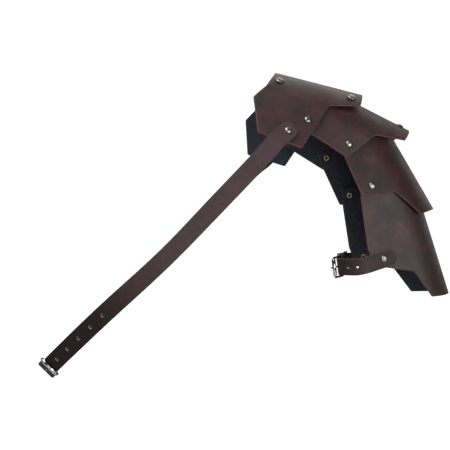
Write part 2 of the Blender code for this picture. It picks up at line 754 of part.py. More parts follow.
def build_fold_rivet(buckle, route, parts):
    """Rivet that closes the fold behind the buckle, past the holed strap's tail."""
    frame = route.frame((buckle.heel + buckle.rivet) * MM)
    sunk = frame @ Matrix.Translation((0.0, 0.0, -STRAP_LEATHER / 2.0))
    grip = 2.0 * (STRAP_LEATHER + GAP) + RING_CLEARANCE
    name = f"{buckle.prefix}_fold_rivet"
    body = add_object(name, turned_mesh(name, rivet_profile(FOLD_CAP * MM, grip)), parts, "rivet_metal", sunk)
    turn(body, RIVET_SIDES)
    return frame.translation, frame.col[2].to_3d()


def build_fastening(buckle, route, holes, hole_radius, parts, cutters):
    """A holed strap from the front, the buckle's strap from the back, and the buckle between them."""
    prefix = buckle.prefix
    heel = buckle.heel * MM
    matrix, length = buckle_matrix(route, buckle)
    rivet = RIVETS[f"{prefix}_strap_rivet"]
    front_seat = lame_seat(rivet.lame, rivet.along, rivet.across)
    back_seat = lame_seat(rivet.lame, rivet.along, -rivet.across)
    end = heel + buckle.tail * MM
    cuts = [buckle.step * MM * count for count in range(int(end / (buckle.step * MM)) + 1)]
    holed = build_strap(f"{prefix}_strap_front", route, (-buckle.head * MM, end), buckle.width, parts,
                        cuts, pointed=True)
    axes = [(route.point(spot, 0.0), route.frame(spot).col[2].to_3d()) for spot in holes]
    pierce(holed, hole_cutter(f"{prefix}_strap_holes", axes, cutters, hole_radius))
    pierce(holed, hole_cutter(f"{prefix}_front_rivet_hole", [front_seat], cutters, HOLE_RADIUS))
    slot = (PRONG_SLOT_LENGTH, 2.0 * (PRONG_RADIUS + PRONG_CLEARANCE), CUTTER_REACH / 2.0)
    pierce(holed, slot_cutter(f"{prefix}_prong_hole", route.frame(heel - PRONG_SLOT_BACK), slot, cutters))
    folded = folded_route(route, buckle)
    held = build_strap(f"{prefix}_strap_back", folded, (folded.length + buckle.head * MM, 0.0),
                       buckle.width, parts, folded.lengths[1:])
    fold_seat = build_fold_rivet(buckle, route, parts)
    pierce(held, hole_cutter(f"{prefix}_back_rivet_holes", [back_seat, fold_seat], cutters, HOLE_RADIUS))
    eye = (EYE_SLOT, 2.0 * (PRONG_RADIUS + PRONG_CLEARANCE), EYE_SLOT)
    pierce(held, slot_cutter(f"{prefix}_eye_slot", matrix, eye, cutters))
    build_frame(buckle, matrix, length, parts)
    build_roller(buckle, matrix, length, parts)
    build_prong(buckle, matrix, length, parts)
    build_keeper(buckle, route, parts)


def main():
    """Build the whole pauldron."""
    clear_scene()
    parts = new_collection("pauldron")
    cutters = new_collection("cutters")
    for name in ARCHES:
        build_lame(name, parts, cutters)
    for name, rivet, place, outward in rivet_seats():
        build_rivet(name, rivet, place, outward, parts)
    chest_holes = [FIRST_HOLE_CHEST + HOLE_SPACING_CHEST * count for count in range(HOLES_CHEST)]
    arm_holes = [FIRST_HOLE_ARM + HOLE_SPACING_ARM * count for count in range(HOLES_ARM)]
    build_fastening(CHEST_BUCKLE, chest_route(), chest_holes, CHEST_HOLE_RADIUS, parts, cutters)
    build_fastening(ARM_BUCKLE, arm_route(), arm_holes, ARM_HOLE_RADIUS, parts, cutters)


main()
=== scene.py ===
"""Looks of a layered leather pauldron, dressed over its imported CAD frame.

Shapes are worked out in millimetres and become metres when a mesh is finished. The arm is towards
+X, the chest towards -X, the wearer's front towards -Y and up is +Z, as in the frame.
"""
from __future__ import annotations

import logging
import math
from abc import ABC, abstractmethod
from bisect import bisect_right
from collections.abc import Callable, Sequence
from dataclasses import dataclass, field, replace
from enum import Enum

import bmesh
import bpy
from bpy.types import Material, Mesh, Node, NodeSocket, NodeTree, Object
from mathutils import Euler, Matrix, Vector, noise

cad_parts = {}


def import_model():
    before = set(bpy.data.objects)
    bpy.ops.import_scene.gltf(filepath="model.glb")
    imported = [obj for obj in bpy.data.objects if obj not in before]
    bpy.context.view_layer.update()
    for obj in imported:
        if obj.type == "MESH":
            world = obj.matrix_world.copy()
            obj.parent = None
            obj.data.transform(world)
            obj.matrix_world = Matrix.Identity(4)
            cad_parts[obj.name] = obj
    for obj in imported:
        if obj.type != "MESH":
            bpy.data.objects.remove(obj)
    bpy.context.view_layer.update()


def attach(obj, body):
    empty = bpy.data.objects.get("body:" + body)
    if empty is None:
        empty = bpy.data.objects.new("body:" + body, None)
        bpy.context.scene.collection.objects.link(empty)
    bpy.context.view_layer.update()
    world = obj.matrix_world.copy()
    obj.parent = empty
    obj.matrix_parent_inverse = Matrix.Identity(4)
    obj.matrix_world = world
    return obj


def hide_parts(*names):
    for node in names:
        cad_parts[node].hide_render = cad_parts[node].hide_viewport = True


Color = tuple[float, float, float]
Place = tuple[float, float, float]

LOG = logging.getLogger("pauldron")
MM = 0.001
WHITE = (1.0, 1.0, 1.0, 1.0)
GAP = 0.3
LAME_LEATHER = 2.4
STRAP_LEATHER = 2.2
STRAP_SEAT = 0.6
FRAME_STEP = 0.5
HIDE_STEP = 137.0
BODY = "root"


def put_in_scene(name: str, data: bpy.types.ID) -> Object:
    """Return a new object of a mesh, light or camera, linked to the scene."""
    made = bpy.data.objects.new(name, data)
    bpy.context.scene.collection.objects.link(made)
    return made


def eased(share: float) -> float:
    """Return a share from 0 to 1 with a soft start and end."""
    return share * share * (3.0 - 2.0 * share)


# Shader effects


class Socket(Enum):
    """Kinds of socket that an effect group has."""

    NUMBER = "NodeSocketFloat"
    COLOR = "NodeSocketColor"
    VECTOR = "NodeSocketVector"


class Effect(Enum):
    """Shader effects that materials share, by the name of their node group."""

    TONE = "leather tone"
    GRAIN = "leather grain"
    WEAR = "edge wear"
    PATINA = "metal patina"


class Bench:
    """Adds nodes to one node tree and joins them up."""

    def __init__(self, tree: NodeTree) -> None:
        """Work on a node tree.

        Args:
            tree: The tree that gets the nodes.
        """
        self.tree = tree

    def put(self, kind: str, **settings: object) -> Node:
        """Add a node.

        Args:
            kind: Blender's name for the node.
            settings: Node attributes to set.

        Returns:
            The new node.
        """
        made = self.tree.nodes.new(kind)
        for name, value in settings.items():
            setattr(made, name, value)
        return made

    def feed(self, target: NodeSocket, value: object) -> None:
        """Link a socket to an input, or set the input's own value.

        Args:
            target: The input socket.
            value: An output socket, a number, a colour or a vector.
        """
        if isinstance(value, NodeSocket):
            self.tree.links.new(value, target)
        elif isinstance(value, tuple) and target.type == "RGBA" and len(value) == 3:
            target.default_value = (*value, 1.0)
        else:
            target.default_value = value

    def fill(self, node: Node, **values: object) -> Node:
        """Feed a node's inputs.

        Args:
            node: The node.
            values: Input values, with the spaces in their names as underscores.

        Returns:
            The same node.
        """
        for name, value in values.items():
            self.feed(node.inputs[name.replace("_", " ")], value)
        return node

    def pair(self, kind: str, operation: str, first: object, second: object) -> NodeSocket:
        """Return the output of a node that works on two inputs.

        Args:
            kind: Blender's name for the node.
            operation: Blender's name for the sum.
            first: Left value or socket.
            second: Right value or socket.

        Returns:
            The result's socket.
        """
        made = self.put(kind, operation=operation)
        self.feed(made.inputs[0], first)
        self.feed(made.inputs[1], second)
        return made.outputs[0]

    def math(self, operation: str, first: object, second: object) -> NodeSocket:
        """Return the result of a Math node."""
        return self.pair("ShaderNodeMath", operation, first, second)

    def plus(self, first: object, second: object) -> NodeSocket:
        """Return the sum of two numbers."""
        return self.math("ADD", first, second)

    def times(self, first: object, second: object) -> NodeSocket:
        """Return the product of two numbers."""
        return self.math("MULTIPLY", first, second)

    def added(self, first: object, second: object) -> NodeSocket:
        """Return the sum of two vectors."""
        return self.pair("ShaderNodeVectorMath", "ADD", first, second)

    def scaled(self, vector: object, amount: object) -> NodeSocket:
        """Return a vector times a number, or times another vector axis by axis."""
        factor = (amount,) * 3 if isinstance(amount, float) else amount
        return self.pair("ShaderNodeVectorMath", "MULTIPLY", vector, factor)

    def cloud(self, vector: object, detail: float, roughness: float = 0.5,
              distortion: float = 0.0) -> NodeSocket:
        """Return a noise from 0 to 1.

        Args:
            vector: Coordinates, one unit to a feature.
            detail: Octaves.
            roughness: Strength of the finer octaves.
            distortion: Swirl of the pattern.

        Returns:
            The noise's socket.
        """
        made = self.put("ShaderNodeTexNoise", noise_dimensions="3D")
        return self.fill(made, Vector=vector, Scale=1.0, Detail=detail, Roughness=roughness,
                         Distortion=distortion).outputs[0]

    def between(self, value: object, low: float, high: float) -> NodeSocket:
        """Return 0 below low, 1 above high and a soft ramp between them.

        Args:
            value: Number socket.
            low: Start of the ramp.
            high: End of the ramp.

        Returns:
            The mask's socket.
        """
        made = self.put("ShaderNodeMapRange", interpolation_type="SMOOTHSTEP")
        return self.fill(made, Value=value, From_Min=low, From_Max=high).outputs[0]

    def blend(self, mask: object, first: object, second: object, mode: str = "MIX") -> NodeSocket:
        """Return one colour blended into another.

        Args:
            mask: Amount of the second colour.
            first: Colour or socket below.
            second: Colour or socket on top.
            mode: Blender's blend mode.

        Returns:
            The blended colour's socket.
        """
        made = self.put("ShaderNodeMix", data_type="RGBA", blend_type=mode)
        self.feed(made.inputs[0], mask)
        self.feed(made.inputs[6], first)
        self.feed(made.inputs[7], second)
        return made.outputs[2]

    def effect(self, kind: Effect, **values: object) -> Node:
        """Place a shared effect with its own values.

        Args:
            kind: Which effect.
            values: Input values, as fill takes them.

        Returns:
            The group node.
        """
        return self.fill(self.put("ShaderNodeGroup", node_tree=effect_group(kind)), **values)


# Sizes of the patterns' features, and the stretch of noise over which each mask rises from 0 to 1.
STREAKS_PER_MM = (0.1, 0.34, 0.2)
PATCH_SHIFT = (7.3, 1.9, 4.1)
FLECKS_PER_MM = 0.55
WARPS_PER_MM = 0.35
WARP_MM = 2.2
PORES_PER_MM = 1.7
RAGS_PER_MM = 0.22
STAINS_PER_MM = 0.32
SCRATCHES_PER_MM = (0.6, 5.0, 0.6)
CLOUD_RAMP = (0.3, 0.72)
PATCH_RAMP = (0.36, 0.74)
STREAK_RAMP = (0.34, 0.76)
FLECK_RAMP = (0.25, 0.75)
PEBBLE_RAMP = (0.0, 0.32)
WEAR_RAMP = (0.45, 1.0)
STAIN_RAMP = (0.42, 0.68)


def leather_tone(bench: Bench, given: Node) -> dict[str, object]:
    """Dye that lies unevenly: deep clouds, warm streaks where the dye is thin, and fine flecks."""
    pattern = given.outputs["Pattern"]
    broad = bench.cloud(bench.scaled(pattern, given.outputs["Clouds Per Mm"]), 2.0, 0.5, 0.1)
    clouds = bench.between(broad, *CLOUD_RAMP)
    deep = bench.blend(clouds, given.outputs["Base"], given.outputs["Deep"])
    moved = bench.added(bench.scaled(pattern, given.outputs["Patches Per Mm"]), PATCH_SHIFT)
    patches = bench.between(bench.cloud(moved, 3.0, 0.55, 0.2), *PATCH_RAMP)
    drawn = bench.cloud(bench.scaled(pattern, STREAKS_PER_MM), 4.0, 0.6, 0.5)
    streaks = bench.between(drawn, *STREAK_RAMP)
    thin = bench.times(bench.plus(bench.times(streaks, 0.7), 0.3), patches)
    warm = bench.blend(bench.times(thin, given.outputs["Warmth"]), deep, given.outputs["Warm"])
    flecks = bench.between(bench.cloud(bench.scaled(pattern, FLECKS_PER_MM), 3.0, 0.6), *FLECK_RAMP)
    shade = bench.plus(bench.times(flecks, 0.5), 0.75)
    return {"Color": bench.blend(1.0, warm, shade, "MULTIPLY"), "Patches": thin}


def leather_grain(bench: Bench, given: Node) -> dict[str, object]:
    """Pebbles parted by fine creases, with pores, as heights from 0 to 1."""
    pattern = given.outputs["Pattern"]
    warp = bench.put("ShaderNodeTexNoise", noise_dimensions="3D")
    bench.fill(warp, Vector=pattern, Scale=WARPS_PER_MM)
    bent = bench.added(pattern, bench.scaled(warp.outputs["Color"], WARP_MM))
    cells = bench.put("ShaderNodeTexVoronoi", feature="DISTANCE_TO_EDGE")
    bench.fill(cells, Vector=bent, Scale=given.outputs["Cells Per Mm"])
    pebbles = bench.between(cells.outputs["Distance"], *PEBBLE_RAMP)
    pores = bench.cloud(bench.scaled(pattern, PORES_PER_MM), 3.0, 0.6)
    height = bench.plus(bench.times(pebbles, 0.7), bench.times(pores, 0.3))
    return {"Height": height, "Creases": bench.math("SUBTRACT", 1.0, pebbles)}


def edge_wear(bench: Bench, given: Node) -> dict[str, object]:
    """A band along the cut edge, ragged where the finish has rubbed off."""
    ragged = bench.cloud(bench.scaled(given.outputs["Pattern"], RAGS_PER_MM), 3.0, 0.6)
    reach = bench.times(given.outputs["Width"], bench.plus(ragged, 0.5))
    share = bench.math("DIVIDE", given.outputs["Edge"], reach)
    return {"Mask": bench.math("SUBTRACT", 1.0, bench.between(share, *WEAR_RAMP))}


def metal_patina(bench: Bench, given: Node) -> dict[str, object]:
    """Plated metal with darker cloudy stains and fine handling scratches."""
    place = given.outputs["Place"]
    clouded = bench.cloud(bench.scaled(place, STAINS_PER_MM), 4.0, 0.6, 0.6)
    stains = bench.between(clouded, *STAIN_RAMP)
    color = bench.blend(bench.times(stains, given.outputs["Staining"]),
                        given.outputs["Plate"], given.outputs["Stain"])
    scratches = bench.cloud(bench.scaled(place, SCRATCHES_PER_MM), 2.0, 0.7)
    return {"Color": color, "Stains": stains, "Scratches": scratches}


NUMBER, COLOR, VECTOR = Socket
EFFECT_MAKERS: dict[Effect, tuple[dict[str, Socket], dict[str, Socket], Callable]] = {
    Effect.TONE: (
        {"Pattern": VECTOR, "Base": COLOR, "Deep": COLOR, "Warm": COLOR, "Warmth": NUMBER,
         "Clouds Per Mm": NUMBER, "Patches Per Mm": NUMBER},
        {"Color": COLOR, "Patches": NUMBER}, leather_tone),
    Effect.GRAIN: (
        {"Pattern": VECTOR, "Cells Per Mm": NUMBER},
        {"Height": NUMBER, "Creases": NUMBER}, leather_grain),
    Effect.WEAR: (
        {"Pattern": VECTOR, "Edge": NUMBER, "Width": NUMBER},
        {"Mask": NUMBER}, edge_wear),
    Effect.PATINA: (
        {"Place": VECTOR, "Plate": COLOR, "Stain": COLOR, "Staining": NUMBER},
        {"Color": COLOR, "Stains": NUMBER, "Scratches": NUMBER}, metal_patina),
}


def effect_group(kind: Effect) -> NodeTree:
    """Return the node group of an effect, made on first use.

    Args:
        kind: Which effect.

    Returns:
        The group's node tree.
    """
    tree = bpy.data.node_groups.get(kind.value)
    if tree is None:
        takes, gives, maker = EFFECT_MAKERS[kind]
        tree = bpy.data.node_groups.new(kind.value, "ShaderNodeTree")
        for way, sockets in (("INPUT", takes), ("OUTPUT", gives)):
            for name, socket in sockets.items():
                tree.interface.new_socket(name=name, in_out=way, socket_type=socket.value)
        bench = Bench(tree)
        bench.fill(bench.put("NodeGroupOutput"), **maker(bench, bench.put("NodeGroupInput")))
    return tree


# Finishes


@dataclass(frozen=True)
class Finish(ABC):
    """A material that is made on first use; color is its main one, also in Blender's solid view."""

    name: str
    color: Color

    @abstractmethod
    def shade(self, bench: Bench, shader: Node) -> None:
        """Give the material's shader its looks.

        Args:
            bench: Puts nodes in the material.
            shader: The material's Principled BSDF.
        """

    def material(self) -> Material:
        """Return the finish's material."""
        made = bpy.data.materials.get(self.name)
        if made is None:
            made = bpy.data.materials.new(self.name)
            made.use_nodes = True
            self.shade(Bench(made.node_tree), made.node_tree.nodes["Principled BSDF"])
            made.diffuse_color = (*self.color, 1.0)
        return made

    @staticmethod
    def emboss(bench: Bench, shader: Node, height: object, relief: float) -> None:
        """Bump a shader's surface.

        Args:
            bench: Puts nodes in the material.
            shader: The shader.
            height: Socket of heights from 0 to 1.
            relief: Size of a height of 1, in mm.
        """
        bump = bench.fill(bench.put("ShaderNodeBump"), Distance=relief * MM, Height=height)
        bench.fill(shader, Normal=bump.outputs["Normal"])


@dataclass(frozen=True)
class LeatherFinish(Finish):
    """Dyed leather: its tones, its grain and its rubbed edges; color is the dye's usual tone.

    An optional darker tone is painted on as shade, where the piece gets less light. It is
    reached between two places along the piece, in mm.
    """

    deep: Color
    warm: Color
    worn: Color
    warmth: float = 0.6
    clouds_per_mm: float = 0.022
    patches_per_mm: float = 0.045
    cells_per_mm: float = 1.3
    edge_width: float = 1.6
    wear: float = 0.7
    relief: float = 0.1
    roughness: float = 0.46
    gloss_change: float = 0.1
    crease_dullness: float = 0.12
    specular: float = 0.35
    # Painted shade: an optional darker tone, reached between two places along the piece.
    painted_shade: Color | None = None
    painted_shade_from: float = 0.0
    painted_shade_to: float = 0.0

    def shade(self, bench: Bench, shader: Node) -> None:
        """Give the shader its looks, as Finish says."""
        pattern = bench.put("ShaderNodeAttribute", attribute_name="pattern").outputs["Vector"]
        edge = bench.put("ShaderNodeAttribute", attribute_name="edge").outputs["Fac"]
        tone = bench.effect(Effect.TONE, Pattern=pattern, Base=self.color, Deep=self.deep,
                            Warm=self.warm, Warmth=self.warmth, Clouds_Per_Mm=self.clouds_per_mm,
                            Patches_Per_Mm=self.patches_per_mm)
        wear = bench.effect(Effect.WEAR, Pattern=pattern, Edge=edge, Width=self.edge_width)
        amount = bench.times(wear.outputs["Mask"], self.wear)
        color = tone.outputs["Color"]
        # Painted shade: the tone darkens between two places along the piece, where it gets less
        # light.
        if self.painted_shade:
            place = bench.fill(bench.put("ShaderNodeSeparateXYZ"), Vector=pattern)
            grip = bench.between(place.outputs[0], self.painted_shade_from, self.painted_shade_to)
            color = bench.blend(grip, color, self.painted_shade)
        worn = bench.blend(amount, color, self.worn)
        grain = bench.effect(Effect.GRAIN, Pattern=pattern, Cells_Per_Mm=self.cells_per_mm)
        swing = bench.math("SUBTRACT", tone.outputs["Patches"], 0.5)
        swing = bench.times(swing, -self.gloss_change)
        rough = bench.plus(bench.plus(swing, self.roughness),
                           bench.times(grain.outputs["Creases"], self.crease_dullness))
        bench.fill(shader, Base_Color=worn, Roughness=rough, Specular_IOR_Level=self.specular)
        self.emboss(bench, shader, grain.outputs["Height"], self.relief)


@dataclass(frozen=True)
class MetalFinish(Finish):
    """Plated metal: its colour, its stains and its polish."""

    stain: Color
    staining: float
    roughness: float
    scratch_relief: float = 0.003
    stain_dullness: float = 0.22

    def shade(self, bench: Bench, shader: Node) -> None:
        """Give the shader its looks, as Finish says."""
        place = bench.scaled(bench.put("ShaderNodeTexCoord").outputs["Object"], 1.0 / MM)
        patina = bench.effect(Effect.PATINA, Place=place, Plate=self.color, Stain=self.stain,
                              Staining=self.staining)
        stained = bench.times(patina.outputs["Stains"], self.stain_dullness)
        dull = bench.plus(stained, self.roughness)
        bench.fill(shader, Base_Color=patina.outputs["Color"], Roughness=dull, Metallic=1.0)
        self.emboss(bench, shader, patina.outputs["Scratches"], self.scratch_relief)


# A leather's tones are in the order of color, deep, warm and worn; a metal's are color and stain.
LAME_OUTSIDE = LeatherFinish(
    "lame_outside", (0.018, 0.0076, 0.008), (0.0112, 0.0054, 0.006), (0.066, 0.0175, 0.014),
    (0.11, 0.042, 0.046), warmth=0.7, edge_width=0.9, roughness=0.38, specular=0.38)
LAME_RUDDY = replace(
    LAME_OUTSIDE, name="lame_outside_ruddy", color=(0.018, 0.0064, 0.0062),
    deep=(0.0105, 0.0044, 0.0046), warm=(0.066, 0.02, 0.013), specular=0.27)
LAME_INSIDE = LeatherFinish(
    "lame_inside", (0.0048, 0.0092, 0.0175), (0.003, 0.006, 0.0115), (0.0085, 0.011, 0.016),
    (0.01, 0.01, 0.012), warmth=0.3, cells_per_mm=0.38, relief=0.52, roughness=0.37, specular=0.37,
    wear=0.2)
LAME_EDGE = LeatherFinish(
    "lame_cut_edge", (0.115, 0.046, 0.05), (0.075, 0.03, 0.033), (0.11, 0.042, 0.043),
    (0.09, 0.035, 0.038), edge_width=0.1, cells_per_mm=2.5, roughness=0.62, specular=0.3)
# The chest strap's front part gets painted shade: darker from 245 mm to 370 mm along it, on its
# lower end.
STRAP_OUTSIDE = LeatherFinish(
    "strap_outside", (0.042, 0.025, 0.027), (0.034, 0.021, 0.0228), (0.056, 0.031, 0.032),
    (0.06, 0.036, 0.038), warmth=0.4, edge_width=0.8, cells_per_mm=1.7, relief=0.06, roughness=0.6,
    specular=0.2, wear=0.35, painted_shade=(0.0135, 0.0062, 0.0062), painted_shade_from=245.0, painted_shade_to=370.0)
# Painted shade: a darker copy of the strap leather, for the arm straps and the chest strap's back
# part.
STRAP_SHADED = replace(
    STRAP_OUTSIDE, name="strap_outside_painted_shade", color=(0.026, 0.0145, 0.0155),
    deep=(0.016, 0.0086, 0.0094), warm=(0.034, 0.016, 0.016), worn=(0.085, 0.044, 0.047),
    wear=0.75, roughness=0.52, specular=0.26, painted_shade=None)
STRAP_INSIDE = LeatherFinish(
    "strap_inside", (0.02, 0.015, 0.015), (0.014, 0.011, 0.011), (0.03, 0.021, 0.02),
    (0.04, 0.028, 0.027), cells_per_mm=0.9, relief=0.16, roughness=0.75, specular=0.2)
STRAP_EDGE = replace(
    LAME_EDGE, name="strap_cut_edge", color=(0.04, 0.024, 0.0255), deep=(0.026, 0.016, 0.017),
    warm=(0.055, 0.032, 0.032), worn=(0.04, 0.024, 0.0255), roughness=0.6)
STRAP_RAW = replace(
    LAME_EDGE, name="strap_punched_rim", color=(0.26, 0.21, 0.195), deep=(0.18, 0.14, 0.13),
    warm=(0.32, 0.26, 0.24), worn=(0.26, 0.21, 0.195), roughness=0.7)
NICKEL = MetalFinish("rivet_nickel", (0.24, 0.235, 0.23), (0.09, 0.085, 0.08), 0.25, 0.31)
# Painted shadow: the rivet caps' rims are near black as the contact shadow under them.
RIM_SHADOW = MetalFinish("rivet_rim_painted_shadow", (0.035, 0.03, 0.03), (0.012, 0.01, 0.01), 0.6, 0.5)
BRASS = MetalFinish("rivet_ring_brass", (0.42, 0.34, 0.24), (0.12, 0.1, 0.07), 0.6, 0.34)
BORE = MetalFinish("rivet_bore_shadow", (0.008, 0.007, 0.006), (0.004, 0.004, 0.003), 0.5, 0.7)
GUNMETAL = MetalFinish("buckle_gunmetal", (0.1, 0.097, 0.1), (0.03, 0.028, 0.03), 0.3, 0.12)
ROLLED = MetalFinish("buckle_roller_polish", (0.5, 0.49, 0.49), (0.16, 0.15, 0.15), 0.1, 0.03)


# Leather sheets


class Face(Enum):
    """Sides of a sheet of leather, each with its material slot."""

    OUTER = 0
    INNER = 1
    CUT = 2
    PUNCHED = 3


@dataclass(frozen=True)
class Dressing:
    """The finishes of a sheet of leather: two faces, a cut edge and the rims of punched holes."""

    outer: LeatherFinish
    inner: LeatherFinish
    cut: LeatherFinish
    punched: LeatherFinish

    def put_on(self, mesh: Mesh) -> None:
        """Give a mesh its material slots, in the order of Face.

        Args:
            mesh: The mesh that gets them.
        """
        for finish in (self.outer, self.inner, self.cut, self.punched):
            mesh.materials.append(finish.material())


LAME_DRESSING = Dressing(LAME_OUTSIDE, LAME_INSIDE, LAME_EDGE, LAME_EDGE)
RUDDY_DRESSING = Dressing(LAME_RUDDY, LAME_INSIDE, LAME_EDGE, LAME_EDGE)
STRAP_DRESSING = Dressing(STRAP_OUTSIDE, STRAP_INSIDE, STRAP_EDGE, STRAP_RAW)
# Dressing in the darker painted-shade copy of the strap leather.
SHADED_DRESSING = Dressing(STRAP_SHADED, STRAP_INSIDE, LAME_EDGE, STRAP_SHADED)


@dataclass(frozen=True)
class Punch:
    """A round hole in leather, or a slot when it has a length, with the patch of mesh round it."""

    along: float
    radius: float
    length: float = 0.0
    margin: float = 2.3
    lines: int = 8

    def halves(self) -> tuple[float, float]:
        """Return half the patch's size along and across."""
        side = self.radius + self.margin
        return side + self.length / 2.0, side

    def core(self, point: Vector) -> Vector:
        """Return the place on the slot's middle line that is nearest to a flat point."""
        reach = self.length / 2.0
        return Vector((self.along + min(max(point.x - self.along, -reach), reach), 0.0))

    def distance(self, point: Vector) -> float:
        """Return how far a flat point lies outside the hole's rim."""
        return (point - self.core(point)).length - self.radius

    def cuts(self) -> tuple[list[float], list[float]]:
        """Return the mesh lines of the patch, along and across."""
        half_along, half_across = self.halves()
        shares = [2.0 * step / self.lines - 1.0 for step in range(self.lines + 1)]
        along = [self.along + half_along * share for share in shares]
        return along, [half_across * share for share in shares]

    def holds(self, point: Vector) -> bool:
        """Return whether a flat point lies in the patch."""
        half_along, half_across = self.halves()
        return abs(point.x - self.along) < half_along and abs(point.y) < half_across


